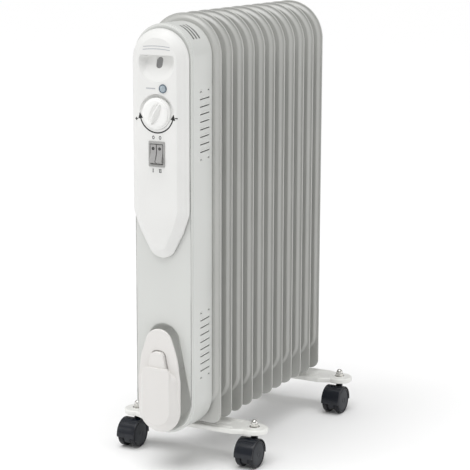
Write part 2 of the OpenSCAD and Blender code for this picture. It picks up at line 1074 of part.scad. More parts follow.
module along_axle(half_l) {
    translate([-half_l, -castor_trail, wheel_r])
        rotate([0, 90, 0])
            children();
}

module castor_hood(index) {
    color("black")
        at_castor(index)
            difference() {
                union() {
                    difference() {
                        along_axle(hood_half_w)
                            cylinder(r = hood_out_r, h = 2 * hood_half_w);
                        along_axle(hood_half_w + 1)
                            cylinder(r = hood_in_r, h = 2 * hood_half_w + 2);
                        translate([-hood_half_w - 1, -castor_trail - 2 * wheel_r, -wheel_r])
                            cube([2 * hood_half_w + 2, 4 * wheel_r, 2 * wheel_r - 3]);
                    }
                    intersection() {
                        along_axle(core_half_w)
                            cylinder(r = hood_in_r + 0.5, h = 2 * core_half_w);
                        translate([-core_half_w - 1, -castor_trail - 12, 8])
                            cube([2 * core_half_w + 2, 3 * wheel_r, 3 * wheel_r]);
                    }
                    translate([0, 0, 22])
                        cylinder(r = neck_r, h = neck_top_z - 22);
                }
                translate([0, 0, 25])
                    cylinder(r = stem_r + running_gap, h = neck_top_z);
                along_axle(core_half_w + 1)
                    cylinder(r = axle_r + 0.02, h = 2 * core_half_w + 2);
                for (side = [-1, 1])
                    translate([side * (core_half_w + wheel_side_gap / 2), 0, 0])
                        mirror([side < 0 ? 1 : 0, 0, 0])
                            translate([0, -castor_trail, wheel_r])
                                rotate([0, 90, 0])
                                    cylinder(r = hood_in_r, h = wheel_w + 1);
            }
}

module castor_axle(index) {
    half_l = core_half_w + wheel_side_gap + wheel_w - 1;
    color("silver")
        at_castor(index)
            along_axle(half_l)
                cylinder(r = axle_r, h = 2 * half_l);
}

// side is -1 for the wheel towards the middle of the heater and 1 for the one on the outside.
module wheel(index, side) {
    toward = side * (index % 2 == 0 ? -1 : 1);
    color("black")
        at_castor(index)
            translate([toward * (core_half_w + wheel_side_gap), -castor_trail, wheel_r])
                rotate([0, toward * 90, 0])
                    difference() {
                        union() {
                            cylinder(r = wheel_r, h = wheel_w - 1.2);
                            translate([0, 0, wheel_w - 1.2 - eps])
                                cylinder(r1 = wheel_r, r2 = wheel_r - 1.2, h = 1.2 + eps);
                        }
                        translate([0, 0, wheel_w - 1])
                            cylinder(r = wheel_r - 3, h = 2);
                        translate([0, 0, -1])
                            cylinder(r = axle_r + running_gap, h = wheel_w);
                    }
}

// ---------- nodes ----------

for (i = [0 : fin_count - 1])
    fin(i);
upper_collars();
lower_collars();
rear_caps();
filler_plug();
element_gasket();
element_flange();
heating_element(-1);  // heating_element_1
heating_element(1);  // heating_element_2
element_terminals();
thermal_cutout();
control_housing();
housing_bracket();
housing_screws();
control_fascia();
fascia_screws();
handle_slot_insert();
indicator_lens();
indicator_lamp();
thermostat_knob();
thermostat_shaft();
thermostat_body();
switch_frame();
rocker_left();
rocker_right();
cord_winder();
winder_screws();
cable_inlet();
front_foot();
rear_foot();
u_bolts();
u_bolt_nuts();
castor_nuts();
castor_stems();
for (i = [0 : 3]) {
    castor_hood(i);
    castor_axle(i);
    wheel(i, -1);
    wheel(i, 1);
}
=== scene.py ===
import json
import math

import bmesh
import bpy
from mathutils import Matrix, Vector

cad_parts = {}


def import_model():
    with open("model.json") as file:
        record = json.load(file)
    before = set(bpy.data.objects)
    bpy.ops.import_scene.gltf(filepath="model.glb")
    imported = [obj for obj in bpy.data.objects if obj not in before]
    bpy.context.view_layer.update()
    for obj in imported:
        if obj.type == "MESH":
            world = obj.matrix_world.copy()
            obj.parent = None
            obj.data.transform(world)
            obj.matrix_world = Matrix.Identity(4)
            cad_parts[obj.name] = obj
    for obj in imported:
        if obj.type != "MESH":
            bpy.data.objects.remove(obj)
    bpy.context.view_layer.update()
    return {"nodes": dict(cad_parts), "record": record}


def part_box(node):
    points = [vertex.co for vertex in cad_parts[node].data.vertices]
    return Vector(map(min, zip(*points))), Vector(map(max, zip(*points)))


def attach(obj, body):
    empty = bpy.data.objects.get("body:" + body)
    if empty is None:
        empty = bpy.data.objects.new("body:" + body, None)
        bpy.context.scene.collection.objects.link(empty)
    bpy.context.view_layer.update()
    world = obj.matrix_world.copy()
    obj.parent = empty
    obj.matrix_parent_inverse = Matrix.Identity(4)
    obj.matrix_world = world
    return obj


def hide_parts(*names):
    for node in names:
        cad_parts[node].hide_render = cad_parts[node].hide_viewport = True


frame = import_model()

# Lengths are in millimetres until a mesh is made. X is to the right, -Y to the front and Z up.
MM = 0.001
STEPS = 96
BODY_OF = {node: body for body, nodes in frame["record"]["behaviour"]["bodies"].items() for node in nodes}
SLOT_OF = {part["node"]: part["material_slot"] for part in frame["record"]["subparts"]}
CORNERS = ["front_left", "front_right", "rear_left", "rear_right"]


def box_mm(node):
    """The low and high corners of a CAD node's box, in millimetres."""
    low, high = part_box(node)
    return low / MM, high / MM


def middle(node):
    low, high = box_mm(node)
    return (low + high) / 2


# ---------- mesh tools ----------

def facing_front(x, y, z):
    """A frame whose X is to the right, Y up and Z out of the front."""
    return Matrix.Translation((x, y, z)) @ Matrix.Rotation(math.pi / 2, 4, "X")


def facing_up(x, y, z):
    return Matrix.Translation((x, y, z))


def facing_side(x, y, z, toward=1):
    """A frame whose Z points along +X or -X and whose Y is up."""
    turn = Matrix(((0, 0, toward, 0), (toward, 0, 0, 0), (0, 1, 0, 0), (0, 0, 0, 1)))
    return Matrix.Translation((x, y, z)) @ turn


def outline(circles, inset=0.0, height=0.0, steps=STEPS):
    """A ring round the hull of circles (x, y, radius), with one point for each direction of its normal."""
    ring = []
    for k in range(steps):
        angle = 2 * math.pi * (k + 0.5) / steps
        u, v = math.cos(angle), math.sin(angle)
        x, y, r = max(circles, key=lambda c: c[0] * u + c[1] * v + c[2])
        ring.append(Vector((x + (r - inset) * u, y + (r - inset) * v, height)))
    return ring


def between(circles_a, circles_b, t):
    return [tuple(a + (b - a) * t for a, b in zip(ca, cb)) for ca, cb in zip(circles_a, circles_b)]


def rectangle(width, height, corner, x=0.0, y=0.0):
    """Four corner circles of a rounded rectangle."""
    dx, dy = width / 2 - corner, height / 2 - corner
    return [(x + i * dx, y + j * dy, corner) for i in (-1, 1) for j in (-1, 1)]


def strip(length, width, x=0.0, y=0.0, upright=False):
    """Two circles of a strip with round ends."""
    half = (length - width) / 2
    dx, dy = (0, half) if upright else (half, 0)
    return [(x - dx, y - dy, width / 2), (x + dx, y + dy, width / 2)]


def wall_to_flat(start, end, count=5):
    """A quarter turn between two (inset, height) points that leaves the first one along the height."""
    across, up = end[0] - start[0], end[1] - start[1]
    angles = [math.pi / 2 * k / count for k in range(count + 1)]
    return [(start[0] + across * (1 - math.cos(a)), start[1] + up * math.sin(a)) for a in angles]


def flat_to_wall(start, end, count=5):
    """A quarter turn that leaves the first point along the flat."""
    return wall_to_flat(end, start, count)[::-1]


def s_curve(start, end, count=8):
    """(inset, height) points that ease from start to end, level at both."""
    points = []
    for k in range(count + 1):
        t = k / count
        inset = start[0] + (end[0] - start[0]) * t
        points.append((inset, start[1] + (end[1] - start[1]) * t * t * (3 - 2 * t)))
    return points


def close_ring(bm, row):
    """Closes an outline with strips between the points that mirror each other across the ring."""
    count = len(row)
    places = range(count // 4 - 1, -count // 4 - 1, -1)
    pairs = [(row[k % count], row[(count // 2 - 1 - k) % count]) for k in places]
    for (a, b), (c, d) in zip(pairs, pairs[1:]):
        bm.faces.new((a, b, d, c))


def loft(bm, rings, matrix, strips=True):
    """A closed solid through rings of equal length; without strips, each end is one face."""
    rows = [[bm.verts.new(MM * (matrix @ point)) for point in ring] for ring in rings]
    count = len(rows[0])
    for low, high in zip(rows, rows[1:]):
        for k in range(count):
            following = (k + 1) % count
            bm.faces.new((low[k], low[following], high[following], high[k]))
    for row in (rows[0], rows[-1]):
        if strips:
            close_ring(bm, row)
        else:
            bm.faces.new(row)


def prism(bm, circles, profile, matrix, steps=STEPS):
    """A solid with the outline of circles; profile lists (inset, height) from one end to the other."""
    loft(bm, [outline(circles, inset, height, steps) for inset, height in profile], matrix)


def lathe(bm, profile, matrix, steps=64):
    """A round solid; profile lists (radius, height) from one end to the other."""
    loft(bm, [outline([(0, 0, r)], 0, h, steps) for r, h in profile], matrix)


def pad(bm, circles, low, high, matrix, edge=0.4, steps=STEPS):
    """A flat slab with a rounded upper edge."""
    prism(bm, circles, [(0, low), (0, high - edge)] + wall_to_flat((0, high - edge), (edge, high), 4)[1:]
          + [(edge * 1.5, high)], matrix, steps)


def ring_solid(bm, profile, matrix, count=48):
    """A closed ring; profile lists (radius, height) once round its section."""
    rows = [[bm.verts.new(MM * (matrix @ Vector((r * math.cos(a), r * math.sin(a), h)))) for r, h in profile]
            for a in (2 * math.pi * k / count for k in range(count))]
    for k in range(count):
        first, second = rows[k], rows[(k + 1) % count]
        for i in range(len(profile)):
            j = (i + 1) % len(profile)
            bm.faces.new((first[i], first[j], second[j], second[i]))


def mesh_object(name, bm):
    bmesh.ops.recalc_face_normals(bm, faces=bm.faces)
    mesh = bpy.data.meshes.new(name)
    bm.to_mesh(mesh)
    bm.free()
    obj = bpy.data.objects.new(name, mesh)
    bpy.context.scene.collection.objects.link(obj)
    return obj


def combine(bm, tool, operation="DIFFERENCE"):
    """The Boolean result of two closed solids, as a new bmesh."""
    base, other = mesh_object("base", bm), mesh_object("tool", tool)
    modifier = base.modifiers.new("combine", "BOOLEAN")
    modifier.operation = operation
    modifier.solver = "EXACT"
    modifier.use_self = True
    modifier.object = other
    bpy.context.view_layer.update()
    result = bpy.data.meshes.new_from_object(base.evaluated_get(bpy.context.evaluated_depsgraph_get()))
    made = bmesh.new()
    made.from_mesh(result)
    bmesh.ops.remove_doubles(made, verts=made.verts, dist=1e-7)
    bpy.data.meshes.remove(result)
    for obj in (base, other):
        bpy.data.meshes.remove(obj.data)
    return made


def piece(name, bm, material, nodes, rides_with=None, sharp=32, smooth=True):
    """Turns bm into a piece that stands for CAD nodes, or that goes with the node rides_with."""
    obj = mesh_object(name, bm)
    if smooth:
        obj.data.shade_smooth()
        obj.data.set_sharp_from_angle(angle=math.radians(sharp))
        modifier = obj.modifiers.new("normals", "WEIGHTED_NORMAL")
        modifier.keep_sharp = True
    obj.data.materials.append(material)
    key = rides_with or nodes[0]
    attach(obj, BODY_OF[key])
    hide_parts(*nodes)
    return obj


# ---------- materials ----------

class Nodes:
    """Short ways to build a node tree for one material."""

    def __init__(self, name):
        self.material = bpy.data.materials.new(name)
        self.material.use_nodes = True
        self.tree = self.material.node_tree
        self.shader = self.tree.nodes["Principled BSDF"]
        self.place = self.tree.nodes.new("ShaderNodeTexCoord").outputs["Object"]

    def noise(self, scale, detail=3.0, stretch=None):
        node = self.tree.nodes.new("ShaderNodeTexNoise")
        node.inputs["Scale"].default_value = scale
        node.inputs["Detail"].default_value = detail
        place = self.place
        if stretch:
            mapping = self.tree.nodes.new("ShaderNodeMapping")
            mapping.inputs["Scale"].default_value = stretch
            self.tree.links.new(self.place, mapping.inputs["Vector"])
            place = mapping.outputs["Vector"]
        self.tree.links.new(place, node.inputs["Vector"])
        return node.outputs["Fac"]

    def spread(self, value, low, high, from_low=0.3, from_high=0.7):
        """Maps a value onto the range from low to high."""
        node = self.tree.nodes.new("ShaderNodeMapRange")
        node.inputs["From Min"].default_value = from_low
        node.inputs["From Max"].default_value = from_high
        node.inputs["To Min"].default_value = low
        node.inputs["To Max"].default_value = high
        self.tree.links.new(value, node.inputs["Value"])
        return node.outputs["Result"]

    def edges(self, low, high):
        """1 on worn convex edges and 0 elsewhere."""
        geometry = self.tree.nodes.new("ShaderNodeNewGeometry")
        return self.spread(geometry.outputs["Pointiness"], 0.0, 1.0, low, high)

    def times(self, a, b):
        node = self.tree.nodes.new("ShaderNodeMath")
        node.operation = "MULTIPLY"
        for socket, value in zip(node.inputs, (a, b)):
            if isinstance(value, float):
                socket.default_value = value
            else:
                self.tree.links.new(value, socket)
        return node.outputs["Value"]

    def mix(self, factor, first, second):
        node = self.tree.nodes.new("ShaderNodeMix")
        node.data_type = "RGBA"
        self.tree.links.new(factor, node.inputs["Factor"])
        for socket, colour in ((node.inputs["A"], first), (node.inputs["B"], second)):
            if isinstance(colour, tuple):
                socket.default_value = (*colour, 1.0)
            else:
                self.tree.links.new(colour, socket)
        return node.outputs["Result"]

    def bump(self, value, strength, distance, below=None):
        node = self.tree.nodes.new("ShaderNodeBump")
        node.inputs["Strength"].default_value = strength
        node.inputs["Distance"].default_value = distance
        self.tree.links.new(value, node.inputs["Height"])
        if below is not None:
            self.tree.links.new(below, node.inputs["Normal"])
        return node.outputs["Normal"]

    def finish(self, colour, roughness, normal):
        self.tree.links.new(colour, self.shader.inputs["Base Color"])
        self.tree.links.new(roughness, self.shader.inputs["Roughness"])
        self.tree.links.new(normal, self.shader.inputs["Normal"])
        return self.material


def scaled(colour, factor):
    return tuple(min(1.0, channel * factor) for channel in colour)


def coated(name, colour, rough, grain, grain_depth, coat=0.0, worn=None, wear=0.25, specular=0.5):
    """Enamel or moulded plastic: a faint drift of colour, a fine grain and handled edges."""
    n = Nodes(name)
    cloud = n.spread(n.noise(9.0), 0.0, 1.0)
    fine = n.noise(240.0, 2.0)
    shade = n.mix(cloud, scaled(colour, 0.965), scaled(colour, 1.02))
    shade = n.mix(n.times(n.edges(0.53, 0.62), wear), shade, worn or scaled(colour, 0.86))
    roughness = n.spread(n.noise(36.0, 4.0), rough * 0.85, rough * 1.2)
    normal = n.bump(n.noise(grain, 2.0), 0.35, grain_depth, n.bump(fine, 0.15, grain_depth))
    n.shader.inputs["Coat Weight"].default_value = coat
    n.shader.inputs["Coat Roughness"].default_value = 0.18
    n.shader.inputs["Specular IOR Level"].default_value = specular
    return n.finish(shade, roughness, normal)


def steel(name, colour, rough, brushing=(1.0, 1.0, 30.0)):
    """Plated or drawn steel with fine drawing lines and a little dulling."""
    n = Nodes(name)
    lines = n.noise(260.0, 4.0, brushing)
    dull = n.spread(n.noise(70.0, 4.0), 0.0, 1.0)
    shade = n.mix(dull, scaled(colour, 0.82), colour)
    roughness = n.spread(lines, rough * 0.7, rough * 1.5)
    n.shader.inputs["Metallic"].default_value = 1.0
    return n.finish(shade, roughness, n.bump(lines, 0.2, 0.00004))


def inked(name, colour):
    """Pad printed ink with slightly uneven cover."""
    n = Nodes(name)
    shade = n.mix(n.spread(n.noise(900.0, 4.0), 0.0, 1.0), colour, scaled(colour, 1.35))
    return n.finish(shade, n.spread(n.noise(400.0), 0.45, 0.65), n.bump(n.noise(1500.0), 0.2, 0.00001))


def clear(name, colour, rough):
    """A tinted translucent moulding."""
    n = Nodes(name)
    shade = n.mix(n.spread(n.noise(120.0), 0.0, 1.0), scaled(colour, 0.9), colour)
    n.shader.inputs["Transmission Weight"].default_value = 0.35
    n.shader.inputs["IOR"].default_value = 1.49
    n.shader.inputs["Coat Weight"].default_value = 0.6
    n.shader.inputs["Coat Roughness"].default_value = 0.08
    roughness = n.spread(n.noise(60.0), rough * 0.8, rough * 1.2)
    return n.finish(shade, roughness, n.bump(n.noise(700.0), 0.1, 0.00002))


FIN_ENAMEL = coated("fin_enamel", (0.50, 0.503, 0.482), 0.34, 900.0, 0.00003, coat=0.25)
HOUSING_ENAMEL = coated("housing_enamel", (0.655, 0.665, 0.643), 0.36, 900.0, 0.00003, coat=0.2)
FASCIA_PLASTIC = coated("fascia_plastic", (0.79, 0.79, 0.775), 0.40, 1600.0, 0.00002)
KNOB_PLASTIC = coated("knob_plastic", (0.87, 0.87, 0.855), 0.36, 1600.0, 0.00002)
WINDER_PLASTIC = coated("winder_plastic", (0.735, 0.72, 0.70), 0.42, 1500.0, 0.00003)
INLET_PLASTIC = coated("inlet_plastic", (0.78, 0.78, 0.76), 0.45, 1500.0, 0.00003)
GREY_PLASTIC = coated("grey_plastic", (0.24, 0.24, 0.24), 0.5, 1800.0, 0.00004)
BEZEL_PLASTIC = coated("bezel_plastic", (0.37, 0.37, 0.36), 0.42, 1800.0, 0.00003)
ROCKER_PLASTIC = coated("rocker_plastic", (0.36, 0.355, 0.35), 0.32, 1800.0, 0.00002)
FOOT_ENAMEL = coated("foot_enamel", (0.84, 0.84, 0.81), 0.34, 900.0, 0.00003, coat=0.25)
HOOD_PLASTIC = coated("hood_plastic", (0.003, 0.0052, 0.0105), 0.24, 500.0, 0.00003, worn=(0.03, 0.03, 0.04),
                      specular=0.5)
WHEEL_PLASTIC = coated("wheel_plastic", (0.028, 0.031, 0.037), 0.5, 700.0, 0.00005, worn=(0.08, 0.08, 0.085),
                       specular=0.3)
TYRE_PLASTIC = coated("tyre_plastic", (0.004, 0.005, 0.009), 0.3, 700.0, 0.00003, worn=(0.03, 0.03, 0.035),
                      specular=0.3)
# Near black for the housing's inner faces: painted shade, so the slots and vents look dark inside.
INSIDE_SHADE = coated("inside_painted_shade", (0.05, 0.05, 0.05), 0.6, 900.0, 0.00003)
PHENOLIC = coated("phenolic", (0.03, 0.028, 0.026), 0.5, 900.0, 0.00005)
CERAMIC = coated("ceramic", (0.72, 0.69, 0.60), 0.6, 1200.0, 0.00005)
GASKET = coated("gasket", (0.02, 0.02, 0.02), 0.75, 1100.0, 0.00006)
BRIGHT_STEEL = steel("bright_steel", (0.74, 0.73, 0.70), 0.18)
TUBE_STEEL = steel("tube_steel", (0.36, 0.34, 0.32), 0.4, (1.0, 30.0, 1.0))
LENS_TINT = clear("lens_tint", (0.55, 0.66, 0.74), 0.12)
LENS_RING = coated("lens_ring", (0.13, 0.17, 0.21), 0.3, 1500.0, 0.00002)
LAMP_GLASS = clear("lamp_glass", (0.85, 0.45, 0.18), 0.1)
BLACK_INK = inked("black_ink", (0.006, 0.006, 0.006))
GREY_INK = inked("grey_ink", (0.055, 0.055, 0.06))
PALE_INK = inked("pale_ink", (0.40, 0.41, 0.43))
OF_SLOT = {
    "fin_enamel": FIN_ENAMEL, "housing_enamel": HOUSING_ENAMEL, "fascia_plastic": FASCIA_PLASTIC,
    "knob_plastic": KNOB_PLASTIC, "winder_plastic": WINDER_PLASTIC, "inlet_plastic": INLET_PLASTIC,
    "grey_plastic": GREY_PLASTIC, "rocker_plastic": ROCKER_PLASTIC, "lens_plastic": LENS_TINT,
    "lamp_glass": LAMP_GLASS, "bolt_steel": BRIGHT_STEEL, "element_steel": TUBE_STEEL, "insulator": CERAMIC,
    "thermostat_plastic": PHENOLIC, "gasket_rubber": GASKET, "foot_enamel": FOOT_ENAMEL,
    "castor_plastic": HOOD_PLASTIC, "wheel_plastic": WHEEL_PLASTIC,
}

# ---------- places taken from the frame ----------

FIN_NAMES = sorted(node for node in SLOT_OF if node.startswith("fin_"))
FIN_LOW, FIN_HIGH = box_mm(FIN_NAMES[0])
FIN_R = FIN_HIGH.x
ARCH_Z = FIN_HIGH.z - FIN_R
UPPER_Z = middle("upper_collars").z
LOWER_Z = middle("lower_collars").z
HOUSING_LOW, HOUSING_HIGH = box_mm("control_housing")
HOUSING_R = HOUSING_HIGH.x
HOUSING_FRONT = HOUSING_LOW.y
HOUSING_BACK = HOUSING_HIGH.y
HOUSING_DEPTH = HOUSING_BACK - HOUSING_FRONT
FACE_Y = box_mm("control_fascia")[0].y
KNOB = middle("thermostat_knob")
SWITCH = middle("switch_frame")
LENS = middle("indicator_lens")


# ---------- radiator ----------

FIN_CORNER = 14.5
SEAM_HALF = 1.15
BODY_HALF = 4.5
CHANNEL_CORNER = 30.0
SKIRT = 25.0
RIM = 4.5
WEB_R = 17.0
WEB_GAP = 32.0
COLLAR_FLARE = 4
CAP_SET_IN = 2.0


def fin(name):
    """Two pressed sheets: a flat welded rim, a sloped shoulder, the oil channels and a web between them."""
    low, high = box_mm(name)
    base_z = low.z
    arch = [(0, ARCH_Z, FIN_R)]
    arch += [(i * (FIN_R - FIN_CORNER), base_z + FIN_CORNER, FIN_CORNER) for i in (-1, 1)]
    channel_x = FIN_R - RIM - CHANNEL_CORNER
    channel = [(0, ARCH_Z, FIN_R - RIM)]
    channel += [(i * channel_x, base_z + SKIRT + CHANNEL_CORNER, CHANNEL_CORNER) for i in (-1, 1)]
    web = [(0, LOWER_Z + WEB_GAP + WEB_R, WEB_R), (0, UPPER_Z - WEB_GAP - WEB_R, WEB_R)]
    web_profile = [(WEB_R - 2, SEAM_HALF)] + s_curve((5.0, SEAM_HALF), (-1.5, BODY_HALF))
    channel_profile = [(6.5, BODY_HALF)] + s_curve((3.4, BODY_HALF), (-2.0, SEAM_HALF), 10)
    rim_profile = [(1.9, SEAM_HALF)] + flat_to_wall((0.7, SEAM_HALF), (0.0, 0.35), 4)
    front = [outline(web, i, h) for i, h in web_profile]
    front += [outline(channel, i, h) for i, h in channel_profile]
    front += [outline(arch, i, h) for i, h in rim_profile]
    back = [[Vector((p.x, p.y, -p.z)) for p in ring] for ring in reversed(front)]
    bm = bmesh.new()
    loft(bm, front + back, facing_front(0, (low.y + high.y) / 2, 0))
    piece(name + "_shell", bm, FIN_ENAMEL, [name])


def collars(node):
    """Necks between the fins that flare where they meet the sheets."""
    low, high = box_mm(node)
    z = (low.z + high.z) / 2
    r = high.x
    pitch = middle(FIN_NAMES[1]).y - middle(FIN_NAMES[0]).y
    half = pitch / 2 - BODY_HALF
    bm = bmesh.new()
    turns = [math.pi / 2 * k / 5 for k in range(6)]
    flare = [(r + COLLAR_FLARE * (1 - math.sin(a)), half - COLLAR_FLARE * (1 - math.cos(a))) for a in turns]
    profile = [(radius, -height) for radius, height in flare] + flare[::-1]
    for name in FIN_NAMES[:-1]:
        lathe(bm, profile, facing_front(0, middle(name).y + pitch / 2, z))
    piece(node + "_necks", bm, FIN_ENAMEL, [node])


def rear_caps():
    """Domed caps welded over the ends of the two headers."""
    low, high = box_mm("rear_caps")
    bm = bmesh.new()
    sheet_y = high.y - CAP_SET_IN
    for z, r in ((UPPER_Z, high.z - UPPER_Z), (LOWER_Z, LOWER_Z - low.z)):
        profile = [(r - 2, -0.5), (r, 0.1), (r, 0.6), (r - 0.5, 1.2), (r - 1.4, 1.5), (r - 3, 1.6)]
        profile += [(r - 4.5, 1.2), (r - 6, 0.9), (r - 8, 0.9)]
        lathe(bm, profile, facing_front(0, sheet_y, z) @ Matrix.Rotation(math.pi, 4, "Y"))
    piece("header_caps", bm, FIN_ENAMEL, ["rear_caps"])


# ---------- control housing ----------

STEP_INSET = 1.8
SHEET = 1.2
RECESS = [(0, 104.0, 42.2), (0, 190.0, 24.0)]
RECESS_DEPTH = 18.0
LOUVRE_COUNT = 10
LOUVRE_PITCH = 10.3
LOUVRE_TOPS = (537.5, 229.5)
LOUVRE_LENGTH = 26.0
LOUVRE_WIDTH = 1.5
LOUVRE_TILT = math.radians(3)
LOUVRE_BACK = 22.0
LIP_RISE = 1.9
VENT_BACKS = (38.2, 30.2, 22.2)
VENT_WIDTH = 3.9
VENT_ANGLES = (21.0, 57.0)


def louvre_slots():
    """(place along the side, length, height) of each slot; the outer ones are open only at their ends."""
    end = LOUVRE_LENGTH / 2 - 2.4
    for top in LOUVRE_TOPS:
        for k in range(LOUVRE_COUNT):
            z = top - k * LOUVRE_PITCH
            if k in (0, LOUVRE_COUNT - 1):
                yield -end, 4.8, z - end * math.tan(LOUVRE_TILT)
                yield end, 4.8, z + end * math.tan(LOUVRE_TILT)
            else:
                yield 0.0, LOUVRE_LENGTH, z


def is_inside(place, normal):
    """True for the housing's inner faces, which are coloured near black as painted shade."""
    spine = Vector((0, place.y, min(max(place.z, HOUSING_LOW.z + HOUSING_R), HOUSING_HIGH.z - HOUSING_R)))
    radial = place - spine
    side_wall = radial.length > HOUSING_R - SHEET - 0.4 and normal.dot(radial.normalized()) < -0.3
    return side_wall or (normal.y > 0.3 and place.y < HOUSING_BACK - 3)


def housing():
    stadium = [(0, HOUSING_LOW.z + HOUSING_R, HOUSING_R), (0, HOUSING_HIGH.z - HOUSING_R, HOUSING_R)]
    depth = HOUSING_DEPTH
    floor = depth - RECESS_DEPTH
    rings = [outline(RECESS, 16.0, floor)]
    rings += [outline(RECESS, i, h) for i, h in s_curve((11.0, floor), (-1.8, depth), 14)]
    side = [(STEP_INSET + 1.6, depth)]
    side += flat_to_wall((STEP_INSET + 1.2, depth), (STEP_INSET, depth - 1.1), 4)
    side += [(STEP_INSET, depth - 2.2), (STEP_INSET - 0.3, depth - 2.8)]
    side += flat_to_wall((STEP_INSET - 0.6, depth - 3.0), (0.0, depth - 4.2), 4)
    side += [(0.0, depth - 6.0), (0.0, 4.0)] + wall_to_flat((0.0, 2.4), (2.2, 0.0), 4)
    rings += [outline(stadium, i, h) for i, h in side]
    inner = [(2.2 + SHEET, 0.6), (SHEET + 0.4, 2.6), (SHEET, 5.0), (SHEET, depth - 5.0)]
    inner += [(STEP_INSET + SHEET, depth - 3.6), (STEP_INSET + SHEET + 0.6, depth - SHEET)]
    rings += [outline(stadium, i, h) for i, h in inner]
    rings += [outline(RECESS, i, h) for i, h in s_curve((-1.0, depth - SHEET), (10.0, floor - SHEET), 8)]
    rings += [outline(RECESS, 16.0, floor - SHEET)]
    bm = bmesh.new()
    loft(bm, rings, facing_front(0, HOUSING_BACK, 0))

    slots = bmesh.new()
    slot_y = HOUSING_BACK - LOUVRE_BACK
    turn = Matrix.Rotation(LOUVRE_TILT, 4, "Z")
    for along, length, z in louvre_slots():
        slot_at = facing_side(0, slot_y + along, z) @ turn
        prism(slots, strip(length, LOUVRE_WIDTH), [(0, -60.0), (0, 60.0)], slot_at, 16)
    inlet = middle("cable_inlet")
    lathe(slots, [(5.2, -6.0), (5.2, 6.0)], facing_up(inlet.x, inlet.y, HOUSING_LOW.z), 32)
    bm = combine(bm, slots)
    vents = bmesh.new()
    sweep = VENT_ANGLES[1] - VENT_ANGLES[0]
    for back in VENT_BACKS:
        vent_at = facing_front(0, HOUSING_BACK - back, HOUSING_HIGH.z - HOUSING_R)
        for side_sign in (-1, 1):
            angles = [math.radians(90 - side_sign * (VENT_ANGLES[0] + sweep * k / 12)) for k in range(13)]
            arc = [(r, a) for r, order in ((50.0, angles), (40.0, angles[::-1])) for a in order]
            rings = [[Vector((r * math.cos(a), r * math.sin(a), h)) for r, a in arc]
                     for h in (-VENT_WIDTH / 2, VENT_WIDTH / 2)]
            loft(vents, rings, vent_at, strips=False)
    bm = combine(bm, vents)
    side_x = HOUSING_R * math.cos(math.pi / STEPS)
    for along, length, z in louvre_slots():
        for toward in (-1, 1):
            lip_at = facing_side(toward * side_x, slot_y + along, z + LIP_RISE, toward)
            prism(bm, strip(length + 1.0, 2.6), wall_to_flat((0, -0.3), (1.2, 0.6), 4),
                  lip_at @ Matrix.Rotation(toward * LOUVRE_TILT, 4, "Z"), 20)
    shell = piece("housing_shell", bm, HOUSING_ENAMEL, ["control_housing"])
    # The inner faces take the near-black painted shade, so the slots look dark from outside.
    shell.data.materials.append(INSIDE_SHADE)
    for face in shell.data.polygons:
        face.material_index = 1 if is_inside(face.center / MM, face.normal) else 0


# ---------- fascia ----------

FASCIA_LOW, FASCIA_HIGH = box_mm("control_fascia")
FASCIA_R = FASCIA_HIGH.x
TIP_R = 23.0
FASCIA = [(0, FASCIA_HIGH.z - FASCIA_R, FASCIA_R), (-13.0, 377.0, 30.0), (13.0, 377.0, 30.0),
          (-8.0, 356.0, 27.5), (8.0, 356.0, 27.5), (0, FASCIA_LOW.z + TIP_R, TIP_R)]
RISE = HOUSING_FRONT - FACE_Y
SLOPE_W = 12.0
WALL = 2.2
DISH_R = 26.2
DISH_DEPTH = 5.0
DISH_FROM = -5.5
DISH_SLOPE = 0.2
DISH_RINGS = ((-0.6, -7.0, 0.0), (-0.6, -0.01, 0.0), (-0.15, 0.15, 0.0), (0.0, 0.6, 0.0), (0.3, 0.4, 0.6),
              (1.2, 0.2, 0.9), (2.4, 0.0, 1.0), (5.0, 0.0, 1.0))
KNOB_WELL_R = 21.7
SCOOP_TOP = 587.3
SCOOP_BOTTOM = 550.6
SCOOP_R = 27.0
SCOOP_TILT = math.radians(18)


def eased(bm):
    """Lets the fascia's height fade towards its lower tip, along level cuts made for it."""
    fade_from, fade_to, share, cuts = 378.0, 318.0, 0.34, 10
    for k in range(cuts):
        level = Vector((0, 0, MM * (fade_from + (fade_to - fade_from) * k / cuts)))
        bmesh.ops.bisect_plane(bm, geom=bm.verts[:] + bm.edges[:] + bm.faces[:], dist=1e-7, plane_co=level,
                               plane_no=(0, 0, 1))
    for v in bm.verts:
        t = min(1.0, max(0.0, (fade_from - v.co.z / MM) / (fade_from - fade_to)))
        front = MM * HOUSING_FRONT
        v.co.y = front + (v.co.y - front) * (1 - share * t * t * (3 - 2 * t))
    return bm


def fascia_solid(inset, drop):
    """The fascia's outer form, drawn in by inset and lowered by drop."""
    profile = [(2.6, 0.1), (2.6, 1.7), (0.6, 2.1), (0.1, 2.4), (0.0, 2.8)]
    profile += wall_to_flat((0.0, 3.2), (2.6, 8.4), 5)[1:]
    profile += [(5.0, 10.6), (7.6, 12.8), (SLOPE_W - 1.0, RISE - 0.9), (SLOPE_W - 0.5, RISE - 0.6)]
    profile += [(SLOPE_W, RISE - 0.15), (SLOPE_W + 2.0, RISE), (SLOPE_W + 8.0, RISE)]
    bm = bmesh.new()
    loft(bm, [outline(FASCIA, i + inset, h - drop) for i, h in profile], facing_front(0, HOUSING_FRONT, 0))
    return bm


